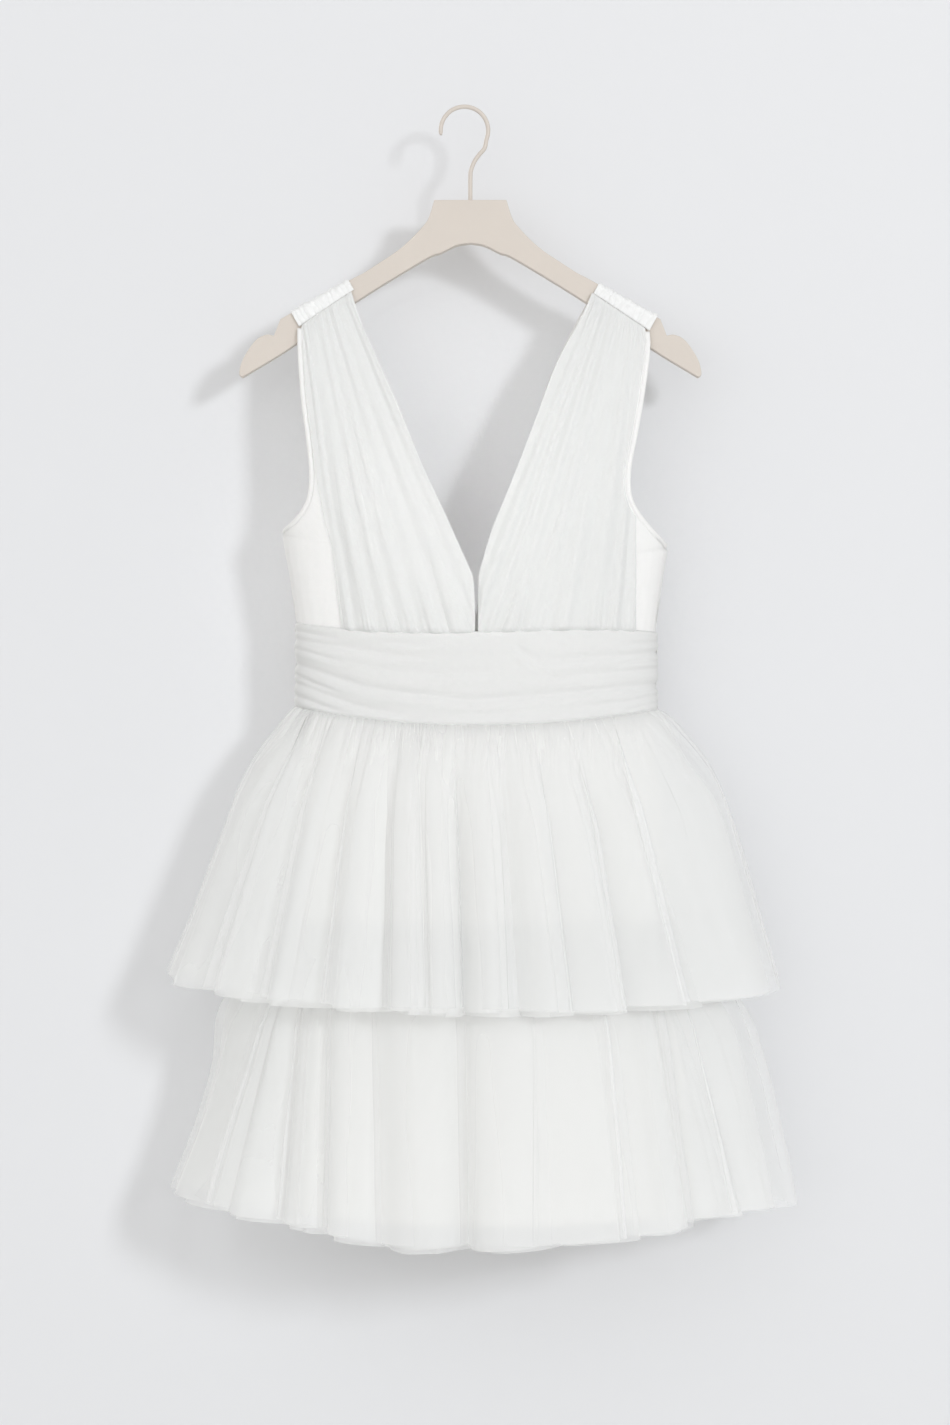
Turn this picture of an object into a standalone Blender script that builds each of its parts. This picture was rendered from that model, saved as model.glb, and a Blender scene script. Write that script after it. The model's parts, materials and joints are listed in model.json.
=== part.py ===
"""Sleeveless tulle mini dress on a flat hanger: V bodice with draped tulle, ruched
waistband, two gathered tiers over a lining skirt. Metres, +Z up, the front faces -Y.
The origin is the point inside the top of the hook where the hanger is held."""

from collections import namedtuple
from math import cos, pi, radians, sin

import bmesh
import bpy
import numpy as np

MM = 0.001

# Names of the columns in the short tables below; every length is in millimetres.
# x is measured from the dress's centre line and z from the hold point.
EdgeRow = namedtuple("EdgeRow", "inner_x inner_z outer_x outer_z")
BodyRow = namedtuple("BodyRow", "z half_width front back stand_off")
SeamRow = namedtuple("SeamRow", "x z")
RingRow = namedtuple("RingRow", "drop centre half_width front back height")
Fold = namedtuple("Fold", "top_x hem_x hem_z")
Ridge = namedtuple("Ridge", "left middle right")
Look = namedtuple("Look", "colour roughness metallic")

SMOOTH_CLOTH = Look((0.88, 0.88, 0.87, 1.0), 0.7, 0.0)
TULLE = Look((0.90, 0.90, 0.89, 1.0), 0.8, 0.0)
PAINTED_WOOD = Look((0.72, 0.66, 0.60, 1.0), 0.55, 0.0)
PAINTED_WIRE = Look((0.72, 0.66, 0.60, 1.0), 0.45, 0.0)

# Points nearer than this are one point.
JOIN_DISTANCE = 0.001

HANGER_X = 5.5
DRESS_X = 11.0

# Hanger: a flat plate, drawn as its right half from the top's middle round to the arch.
HANGER_THICKNESS = 12.0
HANGER_EDGE_ROUNDING = 2.0
HANGER_SHARP_ANGLE = 60
HANGER_HALF = (
    (0, -85.3), (33.4, -85.3), (38.3, -101), (42.9, -108.5), (55, -121.5),
    (67.9, -132.6), (84.6, -143.7), (99, -153), (112.4, -160), (175.8, -195.6),
    (181.8, -210.9), (188.8, -210), (199, -215.5), (210.5, -232.7), (213.8, -246),
    (211, -249.4), (167, -222.5), (107.9, -180.8), (42.9, -140.9), (27.5, -134.5),
    (13, -127.5), (0, -125.2),
)
ARM_TOP_INNER = (112.4, -160.0)
ARM_TOP_OUTER = (175.8, -195.6)

# Hook: an open ring of wire over the hold point, then a bend into a straight stem.
WIRE_RADIUS = 2.0
RING_RADIUS = 22.0
RING_TIP_ANGLE = 192
RING_END_ANGLE = -22
RING_STEPS = 22
WIRE_ROUNDNESS = 3
STEM_TOP_Z = -64.0
HOOK_BEND = ((18.6, -36.5), (13.6, -42.6), (9.2, -49.0), (6.3, -56.5))
STEM_DEPTH = 14.0
BORE_CLEARANCE = 0.3
BORE_SPARE = 3.0
BORE_SIDES = 20

# Cloth: the wall of each sheet and the space left between two pieces.
SEAM_GAP = 0.4
SEWN_EDGE_GAP = 0.8
TIER_TOP_GAP = 1.2
LAYER_GAP = 0.4
BODICE_WALL = 1.0
TULLE_WALL = 1.0

# The body that the bodice follows, from the shoulder down to the waistband's lower edge.
BODY = (
    BodyRow(-160, 190, 1, 1, 6.6),
    BodyRow(-205, 188, 3, 3, 6.6),
    BodyRow(-260, 184, 16, 12, 6.5),
    BodyRow(-330, 182, 36, 27, 3.5),
    BodyRow(-385, 181, 49, 36, 1.0),
    BodyRow(-440, 171, 50, 39, 0.0),
    BodyRow(-486, 164, 46, 39, 0.0),
    BodyRow(-570, 164, 46, 39, 0.0),
)

# Front bodice, shoulder first: the V's edge and the armhole's edge of each row.
FRONT_LEFT = (
    EdgeRow(-115.5, -170.6, -164.9, -204.0),
    EdgeRow(-105.3, -201.9, -165.0, -226.4),
    EdgeRow(-88.5, -239.9, -161.6, -271.2),
    EdgeRow(-69.8, -282.3, -156.6, -308.6),
    EdgeRow(-51.3, -328.9, -153.6, -341.2),
    EdgeRow(-33.0, -368.5, -156.3, -364.3),
    EdgeRow(-17.5, -402.4, -166.8, -380.3),
    EdgeRow(-2.9, -434.3, -179.0, -391.2),
    EdgeRow(-1.3, -460.6, -170.6, -436.6),
    EdgeRow(-1.3, -485.1, -164.0, -482.0),
)
FRONT_RIGHT = (
    EdgeRow(107.0, -171.7, 159.7, -207.2),
    EdgeRow(95.7, -197.5, 160.5, -226.4),
    EdgeRow(74.3, -238.0, 154.7, -269.4),
    EdgeRow(57.5, -282.3, 147.9, -306.8),
    EdgeRow(40.0, -328.9, 142.2, -336.6),
    EdgeRow(25.3, -365.8, 143.0, -361.5),
    EdgeRow(12.5, -397.8, 153.6, -380.3),
    EdgeRow(2.1, -434.3, 175.3, -405.1),
    EdgeRow(1.6, -460.6, 169.4, -441.2),
    EdgeRow(1.6, -485.1, 164.0, -485.7),
)
NECK_ROWS = 8
BACK_NECK_SHIFT = -5.0
BACK_V_BOTTOM_Z = -466.0
BODICE_COLUMNS = 8

# Tulle drape: ridges at these fractions from the V's edge to the drape's outer edge.
DRAPE_RIDGES = (0.03, 0.14, 0.25, 0.37, 0.49, 0.60, 0.71, 0.82, 0.93)
BACK_DRAPE_RIDGES = (0.05, 0.24, 0.43, 0.62, 0.81, 0.95)
DRAPE_FOLD_HEIGHT = 2.2
DRAPE_OUTER_X = (163, 162, 158, 153, 147, 142, 138, 132, 127, 121)
DRAPE_WIDEST = 0.98

# Armhole binding: a narrow folded strip that finishes the panel's edge.
BINDING_WIDTH = 5.5
BINDING_THICKNESS = 2.6
BINDING_SIDES = 8
BINDING_START = 2.2

# Shoulder band: a shirred strip over the hanger's arm.
BAND_WALL = 1.2
BAND_CRUMPLES = 9
BAND_CRUMPLE_HEIGHT = 1.6
BAND_DROP_INNER = 9.5
BAND_DROP_OUTER = 14.5
BAND_CLEARANCE = 0.5
BAND_TOP_ROUNDING = 0.6
BAND_LEFT = (-112.5, -165.5)
BAND_RIGHT = (118.5, 172.5)

# Waistband: its edges over x, and the five ruched folds as fractions of its height.
BAND_TOP = (
    SeamRow(-166, -478.3), SeamRow(-125, -481.9), SeamRow(-88, -486.7), SeamRow(-42, -489.6),
    SeamRow(0, -486.0), SeamRow(58, -484.1), SeamRow(113, -485.6), SeamRow(166, -486.6),
)
BAND_BOTTOM = (
    SeamRow(-166, -552.4), SeamRow(-116, -561.6), SeamRow(-70, -567.1), SeamRow(-24, -569.8),
    SeamRow(22, -569.8), SeamRow(67, -567.1), SeamRow(113, -563.5), SeamRow(166, -555.2),
)
BAND_CURVE_ORDER = 4
BAND_RIDGES = (
    Ridge(0.07, 0.06, 0.08), Ridge(0.25, 0.20, 0.27), Ridge(0.44, 0.42, 0.48),
    Ridge(0.66, 0.60, 0.70), Ridge(0.84, 0.82, 0.90),
)
WAISTBAND_WALL = 1.2
WAISTBAND_FOLD_HEIGHT = 2.0
WAISTBAND_COLUMNS = 14

# Skirt rings: height is the share of the way from the top edge down to the hem, and
# drop is how far the ring has opened from its top shape towards its hem shape.
SKIRT_WALL = 1.0
LINING_RINGS = (
    RingRow(0, 0, 161.0, 41.5, 35.0, 0.0),
    RingRow(0, 4, 169.0, 66.0, 36.0, 0.25),
    RingRow(0, 8, 175.0, 80.0, 36.5, 0.5),
    RingRow(0, 12, 181.0, 95.0, 37.0, 0.75),
    RingRow(0, 16, 187.0, 108.0, 37.0, 1.0),
)
LINING_HEM_Z = -1018.0
LINING_COLUMNS = 22

UPPER_RINGS = (
    RingRow(1.2, 0, 164.2, 45.5, 38.2, 0.0),
    RingRow(5.0, -1, 185.0, 71.0, 42.0, 0.08),
    RingRow(6.5, 0, 216.0, 96.0, 44.5, 0.26),
    RingRow(8.0, 0, 242.0, 118.0, 46.0, 0.52),
    RingRow(9.5, 2, 266.0, 136.0, 46.5, 0.78),
    RingRow(10.5, 4, 284.0, 148.0, 46.5, 1.0),
)
UPPER_FOLDS = (
    Fold(-154, -253.7, -804), Fold(-146, -197.2, -813), Fold(-127, -162.8, -817),
    Fold(-97, -102.4, -820), Fold(-65, -58.2, -822), Fold(-38, -26.8, -822),
    Fold(10, 17.3, -823), Fold(42, 69.2, -824), Fold(74, 110.8, -824),
    Fold(106, 154.4, -822), Fold(144, 225.6, -818),
)
UPPER_SIDE_Z = (-796.0, -806.0)
UPPER_BACK_HEM_Z = -822.0
UPPER_GATHER = 1.0

LOWER_TOP_Z = -750.0
LOWER_RINGS = (
    RingRow(1.5, 6.6, 176.0, 78.2, 38.1, 0.0),
    RingRow(4.0, 4, 203.0, 96.0, 39.4, 0.12),
    RingRow(6.0, 2, 237.0, 112.0, 40.2, 0.30),
    RingRow(8.0, 3, 252.0, 124.0, 41.5, 0.54),
    RingRow(9.5, 6, 270.0, 136.0, 43.0, 0.78),
    RingRow(10.5, 9, 286.0, 146.0, 44.0, 1.0),
)
LOWER_FOLDS = (
    Fold(-158, -263, -1000), Fold(-147, -210.7, -1006), Fold(-124, -150, -1015),
    Fold(-97, -108.2, -1024), Fold(-62, -61.9, -1032), Fold(-28, -18.7, -1032),
    Fold(30, 47.2, -1031), Fold(80, 98.6, -1027), Fold(124, 150.8, -1024),
    Fold(158, 215, -1012), Fold(176, 264, -1014),
)
LOWER_SIDE_Z = (-994.0, -1015.0)
LOWER_BACK_HEM_Z = -1030.0
LOWER_GATHER = 1.2

BACK_FOLDS = 11
BACK_FOLD_SHARE = 0.2
STEPS_PER_FOLD = 8
FRONT_POWER = 1.75
BACK_POWER = 3.5

for old in list(bpy.data.objects):
    bpy.data.objects.remove(old, do_unlink=True)

pieces = bpy.data.collections.new("Tulle mini dress")
cutters = bpy.data.collections.new("Cutters")
bpy.context.scene.collection.children.link(pieces)
bpy.context.scene.collection.children.link(cutters)
cutters.hide_render = True


def centre_line(name, x):
    """An empty on a centre line; the pieces that are measured from it are its children."""
    line = bpy.data.objects.new(name, None)
    line.location = (x * MM, 0, 0)
    pieces.objects.link(line)
    return line


hanger_line = centre_line("hanger_centre_line", HANGER_X)
dress_line = centre_line("dress_centre_line", DRESS_X)
bpy.context.view_layer.update()


def add_piece(name, data, parent, look):
    """A named object in the object's collection, with a material of its own."""
    material = bpy.data.materials.new(name)
    material.use_nodes = True
    shader = material.node_tree.nodes["Principled BSDF"]
    shader.inputs["Base Color"].default_value = look.colour
    shader.inputs["Roughness"].default_value = look.roughness
    shader.inputs["Metallic"].default_value = look.metallic
    data.materials.append(material)
    piece = bpy.data.objects.new(name, data)
    piece.parent = parent
    pieces.objects.link(piece)
    return piece


def lofted_mesh(name, points, faces):
    """A smooth mesh from points in millimetres, with points that coincide joined."""
    mesh = bpy.data.meshes.new(name)
    shape = bmesh.new()
    corners = [shape.verts.new([value * MM for value in point]) for point in points]
    for face in faces:
        shape.faces.new([corners[i] for i in face])
    bmesh.ops.remove_doubles(shape, verts=shape.verts, dist=JOIN_DISTANCE * MM)
    shape.to_mesh(mesh)
    shape.free()
    mesh.shade_smooth()
    return mesh


def grid_faces(rows, columns, turned=False):
    """The quads of a grid of points stored row by row."""
    faces = []
    for r in range(rows - 1):
        for c in range(columns - 1):
            a = r * columns + c
            quad = (a, a + 1, a + columns + 1, a + columns)
            faces.append(quad[::-1] if turned else quad)
    return faces


def add_sheet(name, grids, wall, look, turned):
    """One sheet of cloth from grids of points that share an edge, its wall outward of them."""
    points = []
    faces = []
    for grid in grids:
        rows, columns = grid.shape[:2]
        start = len(points)
        points.extend(tuple(p) for p in grid.reshape(-1, 3))
        faces.extend(tuple(i + start for i in face) for face in grid_faces(rows, columns, turned))
    sheet = add_piece(name, lofted_mesh(name, points, faces), dress_line, look)
    solid = sheet.modifiers.new("Wall", "SOLIDIFY")
    solid.thickness = wall * MM
    solid.offset = 1.0
    solid.use_even_offset = True
    solid.thickness_clamp = 1.0


def add_strip(name, sections, look):
    """A solid strip through sections that turn with the panel's face, capped at both ends."""
    sections = np.array(sections)
    count, sides = sections.shape[:2]
    points = [tuple(p) for p in sections.reshape(-1, 3)]
    faces = []
    for r in range(count - 1):
        for s in range(sides):
            a = r * sides + s
            b = r * sides + (s + 1) % sides
            faces.append((a, b, b + sides, a + sides))
    faces.append(tuple(range(sides))[::-1])
    faces.append(tuple((count - 1) * sides + s for s in range(sides)))
    mesh = lofted_mesh(name, points, faces)
    shape = bmesh.new()
    shape.from_mesh(mesh)
    bmesh.ops.recalc_face_normals(shape, faces=shape.faces)
    shape.to_mesh(mesh)
    shape.free()
    add_piece(name, mesh, dress_line, look)


def grid_normals(grid):
    """Unit normals of a grid of points."""
    across = np.gradient(grid, axis=1)
    down = np.gradient(grid, axis=0)
    normals = np.cross(down, across)
    return normals / np.linalg.norm(normals, axis=2, keepdims=True)


def over_table(table, key, field, value):
    """Reads one column of a table at a value of its key column."""
    keys = [getattr(row, key) for row in table]
    fields = [getattr(row, field) for row in table]
    if keys[0] > keys[-1]:
        keys, fields = keys[::-1], fields[::-1]
    return np.interp(value, keys, fields)


def band_edge(table, x, face):
    """Height of the waistband's edge: a smooth curve in front, a straight line behind."""
    if face > 0:
        return over_table((table[0], table[-1]), "x", "z", x)
    curve = np.polyfit([row.x for row in table], [row.z for row in table], BAND_CURVE_ORDER)
    return np.polyval(curve, x)


# Hanger body: a flat plate with rounded edges and a bore for the hook's stem.
outline = list(HANGER_HALF) + [(-x, z) for x, z in HANGER_HALF[-2:0:-1]]
drawing = bpy.data.curves.new("hanger_outline", "CURVE")
drawing.dimensions = "2D"
drawing.fill_mode = "BOTH"
drawing.extrude = HANGER_THICKNESS / 2 * MM
edge_line = drawing.splines.new("POLY")
edge_line.points.add(len(outline) - 1)
for corner, (x, z) in zip(edge_line.points, outline):
    corner.co = (x * MM, z * MM, 0, 1)
edge_line.use_cyclic_u = True
flat = bpy.data.objects.new("hanger_outline", drawing)
flat.rotation_euler = (radians(90), 0, 0)
pieces.objects.link(flat)
bpy.context.view_layer.update()
plate = bpy.data.meshes.new_from_object(flat.evaluated_get(bpy.context.evaluated_depsgraph_get()))
shape = bmesh.new()
shape.from_mesh(plate)
bmesh.ops.remove_doubles(shape, verts=shape.verts, dist=JOIN_DISTANCE * MM)
shape.to_mesh(plate)
shape.free()
hanger_body = add_piece("hanger_body", plate, hanger_line, PAINTED_WOOD)
hanger_body.rotation_euler = flat.rotation_euler
bpy.data.objects.remove(flat, do_unlink=True)
rounding = hanger_body.modifiers.new("Rounded edges", "BEVEL")
rounding.width = HANGER_EDGE_ROUNDING * MM
rounding.segments = 2
rounding.limit_method = "ANGLE"
rounding.angle_limit = radians(HANGER_SHARP_ANGLE)

top_z = HANGER_HALF[0][1]
bpy.ops.mesh.primitive_cylinder_add(
    vertices=BORE_SIDES,
    radius=(WIRE_RADIUS + BORE_CLEARANCE) * MM,
    depth=(STEM_DEPTH + BORE_CLEARANCE + BORE_SPARE) * MM,
    location=(HANGER_X * MM, 0, (top_z + (BORE_SPARE - STEM_DEPTH - BORE_CLEARANCE) / 2) * MM),
)
bore = bpy.context.active_object
bore.name = "hook_bore"
for collection in bore.users_collection:
    collection.objects.unlink(bore)
cutters.objects.link(bore)
bore.hide_render = True
bore.display_type = "WIRE"
cut = hanger_body.modifiers.new("Hook bore", "BOOLEAN")
cut.operation = "DIFFERENCE"
cut.solver = "EXACT"
cut.object = bore

# Hanger hook: wire bent to an open ring whose inside top is the hold point.
ring_centre_z = -(RING_RADIUS - WIRE_RADIUS)
hook_path = []
for step in range(RING_STEPS + 1):
    angle = radians(RING_TIP_ANGLE + (RING_END_ANGLE - RING_TIP_ANGLE) * step / RING_STEPS)
    hook_path.append((RING_RADIUS * cos(angle), ring_centre_z + RING_RADIUS * sin(angle)))
hook_path.extend(HOOK_BEND)
hook_path.append((HANGER_X, STEM_TOP_Z))
hook_path.append((HANGER_X, top_z - STEM_DEPTH))
wire = bpy.data.curves.new("hanger_hook", "CURVE")
wire.dimensions = "3D"
wire.bevel_depth = WIRE_RADIUS * MM
wire.bevel_resolution = WIRE_ROUNDNESS
wire.use_fill_caps = True
bend = wire.splines.new("POLY")
bend.points.add(len(hook_path) - 1)
for place, (x, z) in zip(bend.points, hook_path):
    place.co = ((x - HANGER_X) * MM, 0, z * MM, 1)
add_piece("hanger_hook", wire, hanger_line, PAINTED_WIRE)


def body_point(x, z, face):
    """A point of the body's surface; face is -1 in front and 1 behind."""
    half_width = over_table(BODY, "z", "half_width", z)
    depth = over_table(BODY, "z", "front" if face < 0 else "back", z)
    stand_off = over_table(BODY, "z", "stand_off", z)
    level = np.sqrt(max(0.0, 1 - (x / half_width) ** 2))
    return (x, face * (SEAM_GAP / 2 + stand_off + depth * level), z)


def bodice_grid(rows, shares, face, reach=None):
    """Points of a bodice panel: one row per table row, from the V's edge outward. The
    grid ends at the x values of reach where these are given, else at the outer edge."""
    grid = np.zeros((len(rows), len(shares), 3))
    for r, row in enumerate(rows):
        half_width = over_table(BODY, "z", "half_width", row.outer_z)
        start = np.arcsin(row.inner_x / half_width)
        end = np.arcsin(np.clip(row.outer_x / half_width, -1, 1))
        if r >= NECK_ROWS - 1:
            end = np.sign(row.outer_x) * pi / 2
        limit = 1.0
        if reach:
            stop = np.arcsin(reach[r] * np.sign(row.outer_x) / half_width)
            limit = min(DRAPE_WIDEST, (stop - start) / (end - start))
        for c, share in enumerate(shares):
            part = share * limit
            x = half_width * sin(start + (end - start) * part)
            z = row.inner_z + (row.outer_z - row.inner_z) * (x - row.inner_x) / (row.outer_x - row.inner_x)
            if r == len(rows) - 1:
                z = band_edge(BAND_TOP, x, face) + SEWN_EDGE_GAP
            grid[r, c] = body_point(x, z, face)
    return grid


def moved_in(table, distance):
    """The rows with the armhole's edge moved into the panel, square to its line."""
    side = np.sign(table[0].outer_x)
    armhole = [(row.outer_x, row.outer_z) for row in table[:NECK_ROWS]]
    way = np.gradient(np.array(armhole), axis=0)
    way /= np.linalg.norm(way, axis=1, keepdims=True)
    inward = np.stack([way[:, 1] * side, -way[:, 0] * side], axis=1)
    inward[-1] = (0, -1)
    shoulder = np.array((table[0].inner_x - table[0].outer_x, table[0].inner_z - table[0].outer_z))
    inward[0] = shoulder / np.linalg.norm(shoulder)
    rows = [
        row._replace(outer_x=row.outer_x + into[0] * distance, outer_z=row.outer_z + into[1] * distance)
        for row, into in zip(table, inward)
    ]
    return tuple(rows) + tuple(table[NECK_ROWS:])


def back_rows(front):
    """The back's rows: the same armhole, with the V moved over and reaching lower."""
    top = front[0].inner_z
    waist = front[-1].inner_z
    deeper = (BACK_V_BOTTOM_Z - top) / (front[NECK_ROWS - 1].inner_z - top)
    rows = []
    for r, row in enumerate(front):
        if r < NECK_ROWS - 1:
            x = row.inner_x + BACK_NECK_SHIFT * min(1, r)
            z = top + (row.inner_z - top) * deeper
        else:
            x = 0.0
            below = (r - NECK_ROWS + 1) / (len(front) - NECK_ROWS)
            z = BACK_V_BOTTOM_Z + (waist - BACK_V_BOTTOM_Z) * below
        rows.append(EdgeRow(x, z, row.outer_x, row.outer_z))
    return rows


def facing(grid, face):
    """True when the grid's quads have to be turned so that they face outward."""
    middle = grid_normals(grid)[grid.shape[0] // 2, grid.shape[1] // 2]
    return (middle[1] * face) > 0


def lifted(grid, face, lift):
    """A grid moved out along its own normals by lift, a grid of millimetres."""
    normals = grid_normals(grid)
    if facing(grid, face):
        return grid + normals * lift[..., None]
    return grid - normals * lift[..., None]


# Bodice fronts: smooth cloth, left and right, open at the centre front.
even_shares = np.linspace(0, 1, BODICE_COLUMNS + 1)
panel_left = moved_in(FRONT_LEFT, BINDING_WIDTH + SEAM_GAP)
panel_right = moved_in(FRONT_RIGHT, BINDING_WIDTH + SEAM_GAP)
for side, table in (("left", panel_left), ("right", panel_right)):
    grid = bodice_grid(table, even_shares, -1)
    add_sheet(f"bodice_front_{side}", [grid], BODICE_WALL, SMOOTH_CLOTH, facing(grid, -1))

# Bodice back: one piece, its halves meeting below the V.
back_grids = []
for table in (panel_left, panel_right):
    grid = bodice_grid(back_rows(table), even_shares, 1)
    back_grids.append(grid if facing(grid, 1) else grid[:, ::-1])
add_sheet("bodice_back", back_grids, BODICE_WALL, SMOOTH_CLOTH, True)


def drape_grid(rows, ridges, face):
    """Tulle over a bodice panel: its points moved out, with folds from shoulder to waist."""
    ends = [0.0] + [(a + b) / 2 for a, b in zip(ridges, ridges[1:])] + [1.0]
    shares = []
    heights = []
    for ridge, start, end in zip(ridges, ends, ends[1:]):
        shares.extend((start, (start + ridge) / 2, ridge, (ridge + end) / 2))
        heights.extend((0.0, 0.6, 1.0, 0.6))
    shares.append(1.0)
    heights.append(0.0)
    grid = bodice_grid(rows, shares, face, DRAPE_OUTER_X)
    lift = BODICE_WALL + LAYER_GAP + DRAPE_FOLD_HEIGHT * np.array(heights)
    return lifted(grid, face, np.tile(lift, (len(rows), 1)))


# Tulle drapes: gathered at the shoulder and the waist, over the fronts and the back.
for side, table in (("left", panel_left), ("right", panel_right)):
    grid = drape_grid(table, DRAPE_RIDGES, -1)
    add_sheet(f"drape_front_{side}", [grid], TULLE_WALL, TULLE, facing(grid, -1))
back_left, back_right = (
    drape_grid(back_rows(table), BACK_DRAPE_RIDGES, 1) for table in (panel_left, panel_right)
)
below_v = slice(NECK_ROWS - 1, None)
middle = (back_left[below_v, 0] + back_right[below_v, 0]) / 2
back_left[below_v, 0] = middle
back_right[below_v, 0] = middle
back_drapes = [grid if facing(grid, 1) else grid[:, ::-1] for grid in (back_left, back_right)]
add_sheet("drape_back", back_drapes, TULLE_WALL, TULLE, True)


def armhole_edge(table):
    """The armhole's line, from the front shoulder under the arm to the back shoulder."""
    front = bodice_grid(table, (1.0, 0.9), -1)[:NECK_ROWS]
    back = bodice_grid(back_rows(table), (1.0, 0.9), 1)[:NECK_ROWS]
    under = (front[-1] + back[-1]) / 2
    under[1] = under[0] - (0, 0, 1)
    both = np.concatenate([front[:-1], under[None], back[-2::-1]])
    inward = both[:, 1] - both[:, 0]
    return both[:, 0], inward / np.linalg.norm(inward, axis=1, keepdims=True)


def binding_sections(table):
    """The folded strip's flat oval section at each point of the armhole."""
    edge, inward = armhole_edge(moved_in(table, BINDING_WIDTH / 2))
    for end, following in ((0, 1), (-1, -2)):
        way = edge[following] - edge[end]
        edge[end] += way / np.linalg.norm(way) * BINDING_START
    along = np.gradient(edge, axis=0)
    along /= np.linalg.norm(along, axis=1, keepdims=True)
    across = inward - along * np.sum(inward * along, axis=1, keepdims=True)
    across /= np.linalg.norm(across, axis=1, keepdims=True)
    out = np.cross(along, across)
    angles = [2 * pi * k / BINDING_SIDES for k in range(BINDING_SIDES)]
    return [
        [
            point + into * (BINDING_WIDTH / 2 * cos(angle)) + square * (BINDING_THICKNESS / 2 * sin(angle))
            for angle in angles
        ]
        for point, into, square in zip(edge, across, out)
    ]


# Armhole bindings: a folded strip along each armhole, with the panels ending beside it.
for side, table in (("left", FRONT_LEFT), ("right", FRONT_RIGHT)):
    add_strip(f"armhole_binding_{side}", binding_sections(table), SMOOTH_CLOTH)


def shoulder_band(span, side):
    """Shirred strip over one arm: a grid across the arm, crumpled along it."""
    direction = np.array((ARM_TOP_OUTER[0] - ARM_TOP_INNER[0], ARM_TOP_OUTER[1] - ARM_TOP_INNER[1]))
    direction /= np.linalg.norm(direction)
    upward = np.array((-direction[1], direction[0]))
    half_gap = HANGER_THICKNESS / 2 + BAND_CLEARANCE
    columns = 2 * BAND_CRUMPLES + 1
    grid = []
    for c in range(columns):
        share = c / (columns - 1)
        x = abs(span[0]) + (abs(span[1]) - abs(span[0])) * share
        distance = (x - ARM_TOP_INNER[0]) / direction[0]
        top = np.array(ARM_TOP_INNER) + direction * distance
        drop = BAND_DROP_INNER + (BAND_DROP_OUTER - BAND_DROP_INNER) * share
        puff = BAND_CRUMPLE_HEIGHT * (c % 2)
        line = []
        for y, up in (
            (-half_gap - puff / 2, -drop), (-half_gap - puff, -drop / 2),
            (-half_gap - puff, -BAND_CLEARANCE), (-half_gap * BAND_TOP_ROUNDING, BAND_CLEARANCE + puff),
            (half_gap * BAND_TOP_ROUNDING, BAND_CLEARANCE + puff), (half_gap + puff, -BAND_CLEARANCE),
            (half_gap + puff, -drop / 2), (half_gap + puff / 2, -drop),
        ):
            x_here, z_here = top + upward * up
            line.append((side * x_here + HANGER_X - DRESS_X, y, z_here))
        grid.append(line)
    return np.array(grid)


# Shoulder bands: left and right, over the hanger's arms.
for side, sign, span in (("left", -1, BAND_LEFT), ("right", 1, BAND_RIGHT)):
    add_sheet(f"shoulder_band_{side}", [shoulder_band(span, sign)], BAND_WALL, TULLE, sign > 0)


def ring_xy(share, centre, half_width, depth, face, power):
    """A point of a half ring seen from above, from its left end at 0 to its right at 1."""
    across = -cos(pi * share)
    level = max(0.0, 1 - abs(across) ** power) ** (1 / power)
    return np.array((centre + half_width * across, face * (SEAM_GAP / 2 + depth * level)))


def half_ring(shares, centre, half_width, depth, face, power, push):
    """Points of a half ring, each pushed out square to it by its own distance."""
    line = np.array([ring_xy(s, centre, half_width, depth, face, power) for s in shares])
    along = np.gradient(line, axis=0)
    normal = np.stack([along[:, 1], -along[:, 0]], axis=1) * -face
    normal /= np.linalg.norm(normal, axis=1, keepdims=True)
    normal[0] = (-1, 0)
    normal[-1] = (1, 0)
    return line + normal * np.array(push)[:, None]


# Waistband: front and back, with five ruched folds running round it.
band_shares = np.linspace(0, 1, WAISTBAND_COLUMNS + 1)
for name, face, power in (("front", -1, 2.0), ("back", 1, 2.0)):
    levels = []
    for column_share in band_shares:
        ridges = [
            np.interp(column_share, (0, 0.5, 1), (r.left, r.middle, r.right)) for r in BAND_RIDGES
        ]
        feet = [0.0] + [(a + b) / 2 for a, b in zip(ridges, ridges[1:])] + [1.0]
        column = []
        for ridge, start, end in zip(ridges, feet, feet[1:]):
            column.extend(((start, 0.0), ((start + 2 * ridge) / 3, 0.9), ((end + 2 * ridge) / 3, 0.9)))
        column.append((1.0, 0.0))
        levels.append(column)
    grid = np.zeros((len(levels[0]), len(band_shares), 3))
    for r in range(grid.shape[0]):
        push = [WAISTBAND_FOLD_HEIGHT * levels[c][r][1] for c in range(len(band_shares))]
        depth = BODY[-1].front if face < 0 else BODY[-1].back
        line = half_ring(band_shares, 0, BODY[-1].half_width, depth, face, power, push)
        for c in range(len(band_shares)):
            x, y = line[c]
            top = band_edge(BAND_TOP, x, face)
            bottom = band_edge(BAND_BOTTOM, x, face)
            grid[r, c] = (x, y, top + (bottom - top) * levels[c][r][0])
    add_sheet(f"waistband_{name}", [grid], WAISTBAND_WALL, TULLE, facing(grid, face))

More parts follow.
